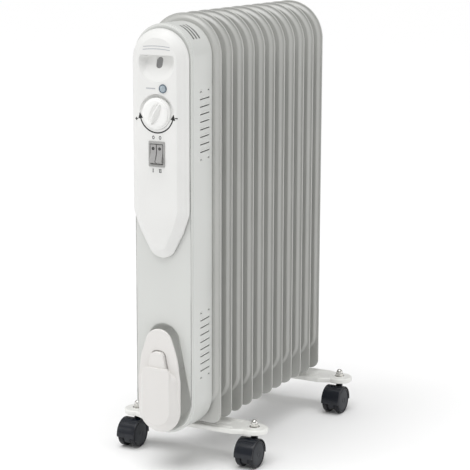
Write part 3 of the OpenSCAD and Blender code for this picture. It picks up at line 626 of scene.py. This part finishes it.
def scoop(grow, mouth):
    """The handle scoop as a solid: steep under its flat upper edge, gentle at the sides and the bottom."""

    def ring_at(inset, draw_in=0.0):
        top = SCOOP_TOP + grow - inset - 0.12 * draw_in
        ring = outline([(0, SCOOP_BOTTOM + SCOOP_R, SCOOP_R + grow - draw_in)], inset)
        for p in ring:
            p.y = top - 1.6 * math.log1p(math.exp((top - p.y) / 1.6)) if p.y > top - 12 else p.y
        return ring

    rings = []
    for inset, height in mouth:
        rings.append(ring_at(inset))
        for p in rings[-1]:
            p.z = height
    for k in range(1, 11):
        t = k / 10
        ring = ring_at(0, 9.0 * t)
        for p in ring:
            depth = 0.6 + max(0.0, p.y - SCOOP_BOTTOM) * math.tan(SCOOP_TILT)
            p.z = RISE - grow - depth * math.sin(math.pi / 2 * t) ** 0.8
        rings.append(ring)
    bm = bmesh.new()
    loft(bm, rings, facing_front(0, HOUSING_FRONT, 0))
    return bm


def scoop_floor():
    """A frame on the tilted floor of the scoop, with its Y up the floor and its Z out of it."""
    return Matrix.Translation((0, FACE_Y, SCOOP_BOTTOM)) @ Matrix.Rotation(math.pi / 2 - SCOOP_TILT, 4, "X")


SLOT = strip(15.5, 9.5, 0, SCOOP_R + 0.8, upright=True)


def fascia():
    """A hollow moulding with the scoop, the knob's dish and holes for the lens, the switch and the shaft."""
    bm = combine(fascia_solid(0, 0), fascia_solid(WALL, WALL))
    at_knob = facing_front(0, HOUSING_FRONT, KNOB.z)
    bm = combine(bm, scoop(WALL, [(0, RISE - 0.9)]), "UNION")
    cup = bmesh.new()
    cup_profile = [(DISH_R + WALL, RISE - 0.9), (DISH_R + WALL, RISE - 4)]
    cup_profile += [(DISH_R - 1, RISE - DISH_DEPTH - WALL)]
    lathe(cup, cup_profile, at_knob)
    bm = combine(bm, cup, "UNION")
    bm = combine(bm, scoop(0, [(-0.9, RISE + 3), (-0.9, RISE), (-0.45, RISE - 0.15), (0, RISE - 0.6)]))
    tools = bmesh.new()
    dish = []
    for inset, drop, share in DISH_RINGS:
        ring = outline([(0, 0, DISH_R)], inset)
        for p in ring:
            floor = RISE - DISH_SLOPE * (p.y - DISH_FROM)
            p.z = max(floor, RISE - drop + (floor - RISE) * share)
        dish.append(ring)
    loft(tools, dish, at_knob)
    well = bmesh.new()
    lathe(well, [(KNOB_WELL_R, RISE - DISH_DEPTH), (KNOB_WELL_R, RISE + 3)], at_knob, STEPS)
    bm = combine(bm, well)
    lathe(tools, [(4.9, 2.0), (4.9, RISE + 3)], facing_front(LENS.x, HOUSING_FRONT, LENS.z), 48)
    switch_hole = rectangle(23.4, 32.4, 1.0, 0, SWITCH.z)
    prism(tools, switch_hole, [(0, 2.0), (0, RISE + 3)], facing_front(0, HOUSING_FRONT, 0), 32)
    bm = combine(bm, tools)
    holes = bmesh.new()
    lathe(holes, [(5.0, 2.0), (5.0, RISE + 3)], at_knob, 48)
    prism(holes, SLOT, [(-0.1, -6.0), (-0.1, 6.0)], scoop_floor(), 48)
    bm = eased(combine(bm, holes))
    piece("fascia_shell", bm, FASCIA_PLASTIC, ["control_fascia"])

    bm = bmesh.new()
    pad(bm, SLOT, -WALL, -1.3, scoop_floor(), 0.3)
    piece("handle_slot_pad", bm, GREY_PLASTIC, ["handle_slot_insert"])


def mark(bm, circles, matrix, thick=0.12):
    """A raised ink mark on a face."""
    prism(bm, circles, [(0, -0.1), (0, thick), (0.12, thick + 0.03)], matrix, 24)


def ring_mark(bm, r, width, from_angle, to_angle, matrix, thick=0.12, squash=1.0):
    """Part of a printed ring, or all of it, with its ends square."""
    count = 48
    full = abs(to_angle - from_angle) >= 360
    section = ((r - width / 2, -0.1), (r - width / 2, thick), (r + width / 2, thick), (r + width / 2, -0.1))
    rows = []
    for k in range(count + (0 if full else 1)):
        a = math.radians(from_angle + (to_angle - from_angle) * k / count)
        u, v = math.cos(a) * squash, math.sin(a)
        rows.append([bm.verts.new(MM * (matrix @ Vector((radius * u, radius * v, height))))
                     for radius, height in section])
    spans = list(zip(rows, rows[1:] + rows[:1])) if full else list(zip(rows, rows[1:]))
    for a, b in spans:
        for k in range(4):
            bm.faces.new((a[k], a[(k + 1) % 4], b[(k + 1) % 4], b[k]))
    if not full:
        bm.faces.new(rows[0])
        bm.faces.new(rows[-1][::-1])


def arrow_head(bm, x, z, angle, size, matrix, thick=0.12):
    """A printed triangle whose tip points along angle."""
    turns = [math.radians(angle + turn) for turn in (0, 130, 230)]
    corners = [(size * math.cos(turn), size * math.sin(turn)) for turn in turns]
    rings = [[Vector((x + u, z + v, h)) for u, v in corners] for h in (-0.1, thick)]
    loft(bm, rings, matrix, strips=False)


def printed_marks():
    """Plain control marks: a turn arrow with plus and minus, and the switch's O, I and II."""
    face = facing_front(0, FACE_Y, 0)
    bm = bmesh.new()
    at_knob = facing_front(0, FACE_Y, KNOB.z)
    arc_r, arc_end = DISH_R - 0.2, 13.0
    ring_mark(bm, arc_r, 1.8, 180 + arc_end, 360 - arc_end, at_knob)
    for side_sign, tilt in ((-1, 100), (1, 80)):
        end = math.radians(-90 + side_sign * (90 - arc_end + 3))
        arrow_head(bm, arc_r * math.cos(end), KNOB.z + arc_r * math.sin(end), tilt, 4.8, face)
    plus = [strip(4.2, 1.4, -31.4, 500.6, upright) for upright in (False, True)]
    for circles in plus + [strip(4.4, 1.4, 30.4, 504.2)]:
        mark(bm, circles, face)
    piece("turn_arrow", bm, BLACK_INK, [], "control_fascia", smooth=False)
    bm = bmesh.new()
    for x in (-5.3, 5.2):
        ring_mark(bm, 1.9, 1.1, 0, 360, facing_front(x, FACE_Y, 476.5), squash=0.75)
    for bars, x in (((0.0,), -6.0), ((-1.1, 1.1), 5.2)):
        for shift in bars:
            mark(bm, strip(4.6, 1.1, x + shift, 431.3, True), face)
        for z in (429.2, 433.4):
            mark(bm, strip(2.0 + 2.2 * (len(bars) - 1), 0.7, x, z), face)
    piece("switch_marks", bm, GREY_INK, [], "control_fascia", smooth=False)
    bm = bmesh.new()
    for z, half in ((599.6, 20.5), (595.8, 21.0)):
        ring_mark(bm, 150.0, 1.1, 90 - math.degrees(half / 150), 90 + math.degrees(half / 150),
                  facing_front(0, FACE_Y, z - 150.0))
    mark(bm, strip(14.5, 1.5, -9.0, 542.6), face)
    piece("panel_lines", bm, PALE_INK, [], "control_fascia", smooth=False)


def lens():
    """A tinted dome in a dark ring."""
    bm = bmesh.new()
    at = facing_front(LENS.x, FACE_Y, LENS.z)
    lathe(bm, [(4.7, -5.5), (4.7, 0.6)] + [(4.7 * math.cos(a), 0.7 + 1.5 * math.sin(a))
                                         for a in (math.pi / 2 * k / 8 for k in range(8))], at)
    piece("lens_dome", bm, LENS_TINT, ["indicator_lens"])
    bm = bmesh.new()
    r = box_mm("indicator_lens")[1].x - LENS.x
    profile = [(4.75, 0.2), (r - 0.2, 0.0), (r, 0.3), (r, 0.9), (r - 0.3, 1.35), (r - 0.8, 1.5)]
    profile += [(4.9, 1.2), (4.75, 0.9)]
    ring_solid(bm, profile, at)
    piece("lens_ring", bm, LENS_RING, [], "indicator_lens")


# ---------- thermostat knob ----------

GRIP_TILT = math.radians(26)


def knob():
    """A disc on a skirt, with a thin grip ridge between two long hollows."""
    low, high = box_mm("thermostat_knob")
    r = high.x
    disc_r = r - 2.2
    proud = FACE_Y - low.y
    base = proud - 5.5
    crest, reach = 4.6, 15.6
    back = FACE_Y - high.y

    def front_height(x, y):
        along = x * math.sin(GRIP_TILT) + y * math.cos(GRIP_TILT)
        across = abs(x * math.cos(GRIP_TILT) - y * math.sin(GRIP_TILT))
        lens = math.sqrt(max(0.0, 1 - (along / reach) ** 2))
        t = min(1.0, max(0.0, (across - 0.8) / (7.4 * lens + 0.01)))
        hollow = 4.2 * lens * math.sin(math.pi * t ** 0.55)
        dome = 0.9 * (x * x + y * y) / (disc_r * disc_r)
        return base - dome + crest * lens * lens * (1 - t) ** 3 - hollow

    profile = [(r - 1.0, back), (r - 0.2, back + 0.4), (r, back + 1.2), (r, 0.8), (r - 0.15, 1.3)]
    profile += [(r - 0.6, 1.6), (disc_r + 0.1, 1.9), (disc_r, 2.3), (disc_r, base - 2.4)]
    profile += [(disc_r - 1.5 * (1 - math.cos(a)), base - 2.4 + 1.5 * math.sin(a))
                for a in (math.pi / 2 * k / 5 for k in range(1, 6))]
    rings = [outline([(0, 0, radius)], 0, h, 144) for radius, h in profile]
    for k in range(1, 48):
        ring = outline([(0, 0, (disc_r - 1.5) * (1 - k / 48))], 0, 0, 144)
        for p in ring:
            p.z = front_height(p.x, p.y)
        rings.append(ring)
    bm = bmesh.new()
    loft(bm, rings, facing_front(0, FACE_Y, KNOB.z))
    piece("knob_body", bm, KNOB_PLASTIC, ["thermostat_knob"], sharp=50)
    low, high = box_mm("thermostat_shaft")
    bm = bmesh.new()
    rod_r, rod_back = high.x, FACE_Y - high.y
    rod = [(rod_r - 0.4, rod_back), (rod_r, rod_back + 0.4), (rod_r, -0.9), (rod_r - 0.4, -0.5)]
    lathe(bm, rod, facing_front(0, FACE_Y, KNOB.z), 48)
    piece("shaft_rod", bm, OF_SLOT[SLOT_OF["thermostat_shaft"]], ["thermostat_shaft"])


# ---------- switch ----------

HALF_SWING = math.radians(11)
PIVOT = -3.0
ROCKER_R = 13.6
ROCKER_REACH = 11.6
ROCKER_TOP = 4.8
DOT_AT = 6.6
ROCKER_W = 9.8
ROCKER_FACE_W = 8.9


def switch_frame():
    """A bezel round the rockers' opening, its body behind the fascia and four terminals."""
    at = facing_front(0, FACE_Y, SWITCH.z)
    opening = rectangle(20.5, 27.8, 0.8)
    bezel = rectangle(25.0, 35.0, 1.6)
    body = rectangle(23.0, 32.0, 0.8)
    rings = [outline(opening, 0.3, -14.0), outline(opening, 0, -13.5), outline(opening, 0, 0.9)]
    rings += [outline(opening, -0.25, 1.25), outline(opening, -0.7, 1.4)]
    rings += [outline(bezel, i, h) for i, h in ((1.0, 1.5), (0.5, 1.4), (0.12, 1.1), (0, 0.6), (0, 0.05))]
    rings += [outline(body, i, h) for i, h in ((0, 0.0), (0, -17.5), (0.5, -18.0))]
    bm = bmesh.new()
    loft(bm, rings, at)
    for x in (-5, 5):
        for y in (-8, 8):
            prism(bm, rectangle(4.0, 0.8, 0.2, x, y), [(0, -26.0), (0, -17.0)], at, 16)
    piece("switch_bezel", bm, BEZEL_PLASTIC, ["switch_frame"])


def rocker(side, node):
    """A rocker with two finger hollows, drawn about its pivot; it rests with its upper half pressed in."""
    at = (facing_front(side * (ROCKER_W + 0.3) / 2, FACE_Y, SWITCH.z) @ Matrix.Translation((0, 0, PIVOT))
          @ Matrix.Rotation(-HALF_SWING, 4, "X"))
    top = []
    for k in range(-12, 13):
        y = ROCKER_REACH * k / 12
        hollow = 0.45 * math.sin(math.pi * min(1.0, abs(y) / ROCKER_REACH))
        top.append((y, ROCKER_TOP + abs(y) * math.tan(HALF_SWING) - hollow))
    end_angle = math.atan2(top[-1][1], top[-1][0])
    arc = [(ROCKER_R * math.cos(a) - 0.02, ROCKER_R * math.sin(a))
           for a in (end_angle * (1 - k / 5) - math.radians(8) * k / 5 for k in range(1, 6))]
    section = top + arc + [(5.0, -8.0), (-5.0, -8.0)] + [(-y, z) for y, z in reversed(arc)]
    rings = []
    for x, shrink in ((-1.0, 0.4), (-0.93, 0.1), (-0.86, 0.0), (0.86, 0.0), (0.93, 0.1), (1.0, 0.4)):
        drawn_in = [(y * (1 - shrink / ROCKER_R), z - shrink * (1 if z > 0 else -1)) for y, z in section]
        rings.append([Vector((x * ROCKER_FACE_W / 2, y, z)) for y, z in drawn_in])
    bm = bmesh.new()
    loft(bm, rings, at, strips=False)
    piece(node + "_key", bm, ROCKER_PLASTIC, [node], sharp=40)
    bm = bmesh.new()
    high = ROCKER_TOP + DOT_AT * math.tan(HALF_SWING) - 0.34
    dot_at = at @ Matrix.Translation((0, DOT_AT, high)) @ Matrix.Rotation(HALF_SWING, 4, "X")
    ring_mark(bm, 1.35, 1.5, 0, 360, dot_at)
    piece(node + "_mark", bm, BLACK_INK, [], node, smooth=False)


# ---------- cord winder ----------

PLATE = [(0, 94.8, 33.2), (0, 134.5, 33.2), (0, 163.0, 29.2), (0, 188.3, 21.2)]
PLATE_GAP = 11.0
PLATE_T = 4.0
HUMP_BASE = [(0, 94.8, 31.8), (-17.5, 137.0, 11.0), (17.5, 137.0, 11.0), (-9.0, 147.0, 9.0),
             (9.0, 147.0, 9.0)]
HUMP_TOP = [(0, 95.0, 21.4), (-13.3, 137.0, 7.8), (13.3, 137.0, 7.8), (-14.3, 149.2, 6.8),
            (14.3, 149.2, 6.8)]
HUMP_H = 9.0
TONGUE = [(-2.5, 170.0, 8.0), (2.5, 170.0, 8.0), (-8.0, 152.0, 6.0), (8.0, 152.0, 6.0)]
TONGUE_H = 6.0
TONGUE_GAP = 1.7
GAP_DEPTH = 2.6
POST_R = 16.0
POST_Z = 122.0


def winder():
    """A plate in front of the recess with a raised tongue and a faceted hump, on a round post."""
    plate_y = HOUSING_FRONT - PLATE_GAP
    at = facing_front(0, plate_y, 0)
    bm = bmesh.new()
    profile = [(4.0, 0.0)] + flat_to_wall((1.2, 0.0), (0.0, 1.1), 4) + [(0.0, 2.6)]
    profile += wall_to_flat((0.0, 2.7), (1.3, PLATE_T), 5) + [(2.2, PLATE_T), (6.0, PLATE_T)]
    prism(bm, PLATE, profile, at)
    pocket = bmesh.new()
    prism(pocket, TONGUE, [(-TONGUE_GAP, PLATE_T - GAP_DEPTH), (-TONGUE_GAP, PLATE_T + 1.0)], at)
    bm = combine(bm, pocket)
    tongue_top = PLATE_T + TONGUE_H
    tongue = [(0, PLATE_T - GAP_DEPTH - 0.4), (0, tongue_top - 1.6)]
    tongue += wall_to_flat((0, tongue_top - 0.9), (0.9, tongue_top), 4)[1:] + [(3.0, tongue_top)]
    prism(bm, TONGUE, tongue, at)
    rings = [outline(HUMP_BASE, i, h) for i, h in ((2.0, 1.5), (-0.3, PLATE_T - 0.2), (0, PLATE_T + 0.2))]
    for k in range(1, 9):
        t = k / 9
        rings.append(outline(between(HUMP_BASE, HUMP_TOP, t), 0, PLATE_T + HUMP_H * t ** 0.92))
    for inset, height in wall_to_flat((0, PLATE_T + HUMP_H - 0.5), (1.1, PLATE_T + HUMP_H), 4):
        rings.append(outline(HUMP_TOP, inset - 0.4, height))
    rings.append(outline(HUMP_TOP, 4.0, PLATE_T + HUMP_H))
    loft(bm, rings, at)
    post = HOUSING_FRONT + RECESS_DEPTH - plate_y
    post_profile = [(POST_R - 1, -post), (POST_R, -post + 0.6), (POST_R, -3.0)]
    post_profile += [(POST_R + i, -h) for i, h in ((0.2, 1.8), (0.8, 0.8), (1.8, 0.2), (3.0, -0.3))]
    lathe(bm, post_profile, facing_front(0, plate_y, POST_Z))
    piece("winder_body", bm, WINDER_PLASTIC, ["cord_winder"])


def inlet():
    """The bush in the underside of the housing, with a rounded flange."""
    low, high = box_mm("cable_inlet")
    r = high.x
    bm = bmesh.new()
    profile = [(5.1, high.z), (5.1, low.z + 4.0), (r, low.z + 4.0), (r, low.z + 1.4), (r - 0.4, low.z + 0.5),
               (r - 1.2, low.z), (4.8, low.z), (4.3, low.z + 0.4), (4.2, low.z + 1.0), (4.2, high.z)]
    ring_solid(bm, profile, facing_up(middle("cable_inlet").x, middle("cable_inlet").y, 0))
    piece("inlet_bush", bm, INLET_PLASTIC, ["cable_inlet"])


# ---------- feet ----------

STEM_X = middle("castor_hood_front_right").x
END_R = 19.5
FLANGE_H = 7.0
FOOT_SHEET = 2.0
FOOT_TOP = 54.0
SEAT_AHEAD = 5.25


def foot(node):
    """A pressed bar with turned down edges, two long ribs and a round pad at each end."""
    low, high = box_mm(node)
    y = (low.y + high.y) / 2
    top = FOOT_TOP
    floor = top - FLANGE_H
    at = facing_up(0, y, 0)
    bar = [(i * 71.0, j * 22.0, 3.0) for i in (-1, 1) for j in (-1, 1)]
    bar += [(i * 88.0, 0, 17.0) for i in (-1, 1)]
    bm = bmesh.new()
    profile = [(FOOT_SHEET + 3, top - FOOT_SHEET), (FOOT_SHEET + 0.2, top - FOOT_SHEET - 0.6)]
    profile += [(FOOT_SHEET, top - 4), (FOOT_SHEET, floor + 0.3), (FOOT_SHEET - 0.4, floor), (0.4, floor)]
    profile += [(0, floor + 0.4), (0, top - 2.6)]
    profile += wall_to_flat((0, top - 2.4), (2.4, top), 5) + [(4.0, top)]
    prism(bm, bar, profile, at)
    in_r = END_R - FOOT_SHEET
    end_profile = [(in_r - 2, top - FOOT_SHEET), (in_r, top - 4.0), (in_r, floor + 0.2)]
    end_profile += [(END_R - 0.6, floor), (END_R, floor + 0.5), (END_R, top - 2.2)]
    end_profile += [(END_R - inset, h) for inset, h in wall_to_flat((0, top - 2.0), (2.2, top + 0.35), 5)]
    end_profile += [(13.0, top + 0.35), (12.4, top + 0.1), (11.6, top - 0.1), (10.6, top + 0.1)]
    end_profile += [(10.0, top + 0.6), (9.4, top + 0.8), (6.0, top + 0.8)]
    for i in (-1, 1):
        lathe(bm, end_profile, facing_up(i * STEM_X, y, 0))
    rib = [(0, top - 0.3)]
    rib += [(2.0 * t, top - 0.3 + 1.6 * math.sin(math.pi / 2 * t)) for t in (0.25, 0.5, 0.75, 1.0)]
    for rib_y in (-16.5, 16.5):
        prism(bm, strip(142.0, 4.6, 0, rib_y), rib, at, 32)
    prism(bm, strip(120.0, 12.0, 0, 0), s_curve((0, top - 0.2), (2.5, top + 0.9), 5), at, 32)
    seat = [(0, top - 0.5), (0, FIN_LOW.z - 0.3), (0.3, FIN_LOW.z)]
    prism(bm, rectangle(76.0, 4.0, 0.8, 0, SEAT_AHEAD), seat, at, 32)
    piece(node + "_bar", bm, FOOT_ENAMEL, [node])


def hex_circles(r):
    """Six small circles whose hull is a hexagon with softened corners."""
    soft = 0.5
    angles = [math.pi / 3 * k for k in range(6)]
    return [((r - soft) * math.cos(a), (r - soft) * math.sin(a), soft) for a in angles]


def castor_nuts():
    """Acorn nuts on plain washers."""
    bm = bmesh.new()
    base = box_mm("castor_nuts")[0].z
    dome_turns = [math.pi / 2 * k / 8 for k in range(1, 8)]
    acorn = [(4.9, 4.6), (4.9, 6.0)] + [(4.9 * math.cos(a), 6.0 + 4.85 * math.sin(a)) for a in dome_turns]
    for hood in ("castor_hood_front_left", "castor_hood_rear_left"):
        for i in (-1, 1):
            at = facing_up(i * STEM_X, stem_y(hood), base)
            lathe(bm, [(7.4, 0.0), (7.6, 0.3), (7.4, 0.7), (6.4, 0.8)], at, 48)
            prism(bm, hex_circles(6.2), [(0.5, 0.5), (0, 1.0), (0, 4.4), (0.4, 4.9), (1.0, 5.1)], at, 48)
            lathe(bm, acorn, at, 48)
    piece("acorn_nuts", bm, BRIGHT_STEEL, ["castor_nuts"], sharp=28)


# ---------- castors ----------

WHEEL_R = 20.0
TRAIL = 14.5
HOOD_OUT = 22.4
HOOD_IN = 21.0
HOOD_HALF = 14.5
CORE_HALF = 5.2
WHEEL_W = 8.7
CAP_R = 16.8
SIDE_GAP = 0.4


def stem_y(hood):
    """The stem is above the middle of the neck, a trail's length behind the axle."""
    corner = hood.replace("castor_hood_", "")
    return middle("castor_axle_" + corner).y + TRAIL


def hood(corner):
    """A half barrel over both wheels with a web between them, a neck and a square rear end."""
    node = "castor_hood_" + corner
    axle = middle("castor_axle_" + corner)
    bm = bmesh.new()
    start, end, count = -6.0, 186.0, 40
    rows = []
    widths = [(-1.0, 0.5), (-0.97, 0.15), (-0.93, 0.0), (-0.5, 0.0), (0.0, 0.0), (0.5, 0.0), (0.93, 0.0),
              (0.97, 0.15), (1.0, 0.5)]
    for k in range(count + 1):
        a = math.radians(start + (end - start) * k / count)
        section = [(w, HOOD_OUT - cut) for w, cut in widths] + [(w, HOOD_IN) for w, cut in reversed(widths)]
        points = [Vector((w * HOOD_HALF, r * math.cos(a), r * math.sin(a))) for w, r in section]
        rows.append([bm.verts.new(MM * (Vector((axle.x, axle.y, axle.z)) + p)) for p in points])
    size = len(rows[0])
    for a, b in zip(rows, rows[1:]):
        for k in range(size):
            bm.faces.new((a[k], a[(k + 1) % size], b[(k + 1) % size], b[k]))
    bm.faces.new(rows[0])
    bm.faces.new(rows[-1][::-1])
    core = facing_side(axle.x, axle.y, axle.z)
    web = [(-10.5, -6.0, 7.0), (-11.0, 5.0, 8.5), (10.0, 12.0, 8.0), (0, 9.5, 11.5), (9.0, 2.0, 7.0)]
    prism(bm, web, [(1.0, -CORE_HALF), (0.3, -CORE_HALF + 0.4), (0, -CORE_HALF + 1), (0, CORE_HALF - 1),
                    (0.3, CORE_HALF - 0.4), (1.0, CORE_HALF)], core, 48)
    neck_top = box_mm(node)[1].z
    neck = [(5.2, 30.0), (5.2, neck_top - 0.5), (4.8, neck_top)]
    lathe(bm, neck, facing_up(axle.x, axle.y + TRAIL, 0), 48)
    piece(node + "_shell", bm, HOOD_PLASTIC, [node], sharp=38)


def wheel(corner, which):
    """A solid wheel with a rounded tread and a recessed, slightly domed cap on its outer face."""
    node = which + "_wheel_" + corner
    axle = middle("castor_axle_" + corner)
    low, high = box_mm(node)
    toward = 1 if (low.x + high.x) / 2 > axle.x else -1
    start = axle.x + toward * (CORE_HALF + SIDE_GAP)
    w = WHEEL_W
    profile = [(3.1, 0.4), (6.0, 0.4), (6.4, 0.9), (16.0, 0.9), (16.6, 0.3), (18.2, 0.0), (19.2, 0.3)]
    profile += [(19.85, 1.1), (WHEEL_R, 2.2), (WHEEL_R, w - 2.0), (19.85, w - 1.0), (19.3, w - 0.35)]
    profile += [(18.6, w), (17.6, w), (17.2, w - 0.25), (17.0, w - 0.9), (16.6, w - 0.9), (16.3, w - 0.5)]
    profile += [(15.6, w - 0.3), (12.0, w - 0.12), (8.0, w - 0.02), (4.6, w), (4.3, w - 0.35)]
    profile += [(3.9, w - 0.35), (3.6, w), (1.0, w)]
    bm = bmesh.new()
    lathe(bm, profile, facing_side(start, axle.y, axle.z, toward), STEPS)
    disc = piece(node + "_disc", bm, TYRE_PLASTIC, [node], sharp=28)
    disc.data.materials.append(WHEEL_PLASTIC)
    for face in disc.data.polygons:
        place = face.center / MM - axle
        if abs(place.x) > CORE_HALF + SIDE_GAP + w - 1.2 and math.hypot(place.y, place.z) < CAP_R:
            face.material_index = 1


# ---------- build ----------

for fin_name in FIN_NAMES:
    fin(fin_name)
collars("upper_collars")
collars("lower_collars")
rear_caps()
housing()
fascia()
printed_marks()
lens()
knob()
switch_frame()
rocker(-1, "rocker_left")
rocker(1, "rocker_right")
winder()
inlet()
foot("front_foot")
foot("rear_foot")
castor_nuts()
for corner_name in CORNERS:
    hood(corner_name)
    for which_wheel in ("inner", "outer"):
        wheel(corner_name, which_wheel)

for node_name, node_object in frame["nodes"].items():
    if not node_object.hide_render:
        node_object.data.materials.clear()
        node_object.data.materials.append(OF_SLOT[SLOT_OF[node_name]])


# ---------- stage, lights and camera ----------

FLOOR_HALF = 40.0
FILL = 0.42
SEEN = 1.0
CAMERA_AT = (1.12627, -2.10592, 0.79136)
CAMERA_YAW, CAMERA_PITCH, CAMERA_ROLL = 27.907, 11.487, 0.186
CAMERA_LENS = 126.47
SKY_POWER = 2.2
SKY_ANGLE = 50
SKY_DIRECTION = (0.02, 0.30, -1.0)


def area_light(name, place, aim, size, power):
    data = bpy.data.lights.new(name, "AREA")
    data.shape = "RECTANGLE"
    data.size, data.size_y = size
    data.energy = power
    obj = bpy.data.objects.new(name, data)
    obj.location = place
    obj.rotation_euler = (Vector(aim) - Vector(place)).to_track_quat("-Z", "Y").to_euler()
    bpy.context.scene.collection.objects.link(obj)


def sky_light():
    """One large soft source, almost straight above."""
    data = bpy.data.lights.new("sky_panel", "SUN")
    data.energy = SKY_POWER
    data.angle = math.radians(SKY_ANGLE)
    obj = bpy.data.objects.new("sky_panel", data)
    obj.rotation_euler = Vector(SKY_DIRECTION).to_track_quat("-Z", "Y").to_euler()
    bpy.context.scene.collection.objects.link(obj)


def stage():
    half = FLOOR_HALF
    corners = [(-half, -half, 0), (half, -half, 0), (half, half, 0), (-half, half, 0)]
    mesh = bpy.data.meshes.new("floor")
    mesh.from_pydata(corners, [], [(0, 1, 2, 3)])
    floor = bpy.data.objects.new("floor", mesh)
    bpy.context.scene.collection.objects.link(floor)
    material = bpy.data.materials.new("studio_floor")
    material.use_nodes = True
    shader = material.node_tree.nodes["Principled BSDF"]
    shader.inputs["Base Color"].default_value = (0.97, 0.97, 0.97, 1.0)
    shader.inputs["Roughness"].default_value = 0.7
    floor.data.materials.append(material)


def world():
    """Even fill light; the camera sees the same air as plain white."""
    made = bpy.data.worlds.new("studio")
    made.use_nodes = True
    nodes, links = made.node_tree.nodes, made.node_tree.links
    fill, seen = nodes["Background"], nodes.new("ShaderNodeBackground")
    for background, strength in ((fill, FILL), (seen, SEEN)):
        background.inputs["Color"].default_value = (1.0, 1.0, 1.0, 1.0)
        background.inputs["Strength"].default_value = strength
    path, mix = nodes.new("ShaderNodeLightPath"), nodes.new("ShaderNodeMixShader")
    links.new(path.outputs["Is Camera Ray"], mix.inputs["Fac"])
    links.new(fill.outputs["Background"], mix.inputs[1])
    links.new(seen.outputs["Background"], mix.inputs[2])
    links.new(mix.outputs["Shader"], nodes["World Output"].inputs["Surface"])
    bpy.context.scene.world = made


def camera():
    """The view of the reference: from the front right and a little above."""
    yaw, pitch, roll = (math.radians(angle) for angle in (CAMERA_YAW, CAMERA_PITCH, CAMERA_ROLL))
    data = bpy.data.cameras.new("camera")
    data.sensor_width = 36.0
    data.lens = CAMERA_LENS
    data.clip_end = 50.0
    obj = bpy.data.objects.new("camera", data)
    tilted = Matrix.Rotation(math.pi / 2 - pitch, 4, "X") @ Matrix.Rotation(roll, 4, "Z")
    obj.matrix_world = Matrix.Translation(CAMERA_AT) @ Matrix.Rotation(yaw, 4, "Z") @ tilted
    bpy.context.scene.collection.objects.link(obj)
    bpy.context.scene.camera = obj


stage()
world()
camera()
sky_light()
area_light("key", (-2.2, -2.0, 1.1), (0, 0, 0.35), (1.0, 1.4), 12.0)
area_light("side", (3.0, 0.9, 0.9), (0, 0, 0.3), (1.6, 1.6), 13.0)
bpy.context.scene.view_settings.view_transform = "Standard"
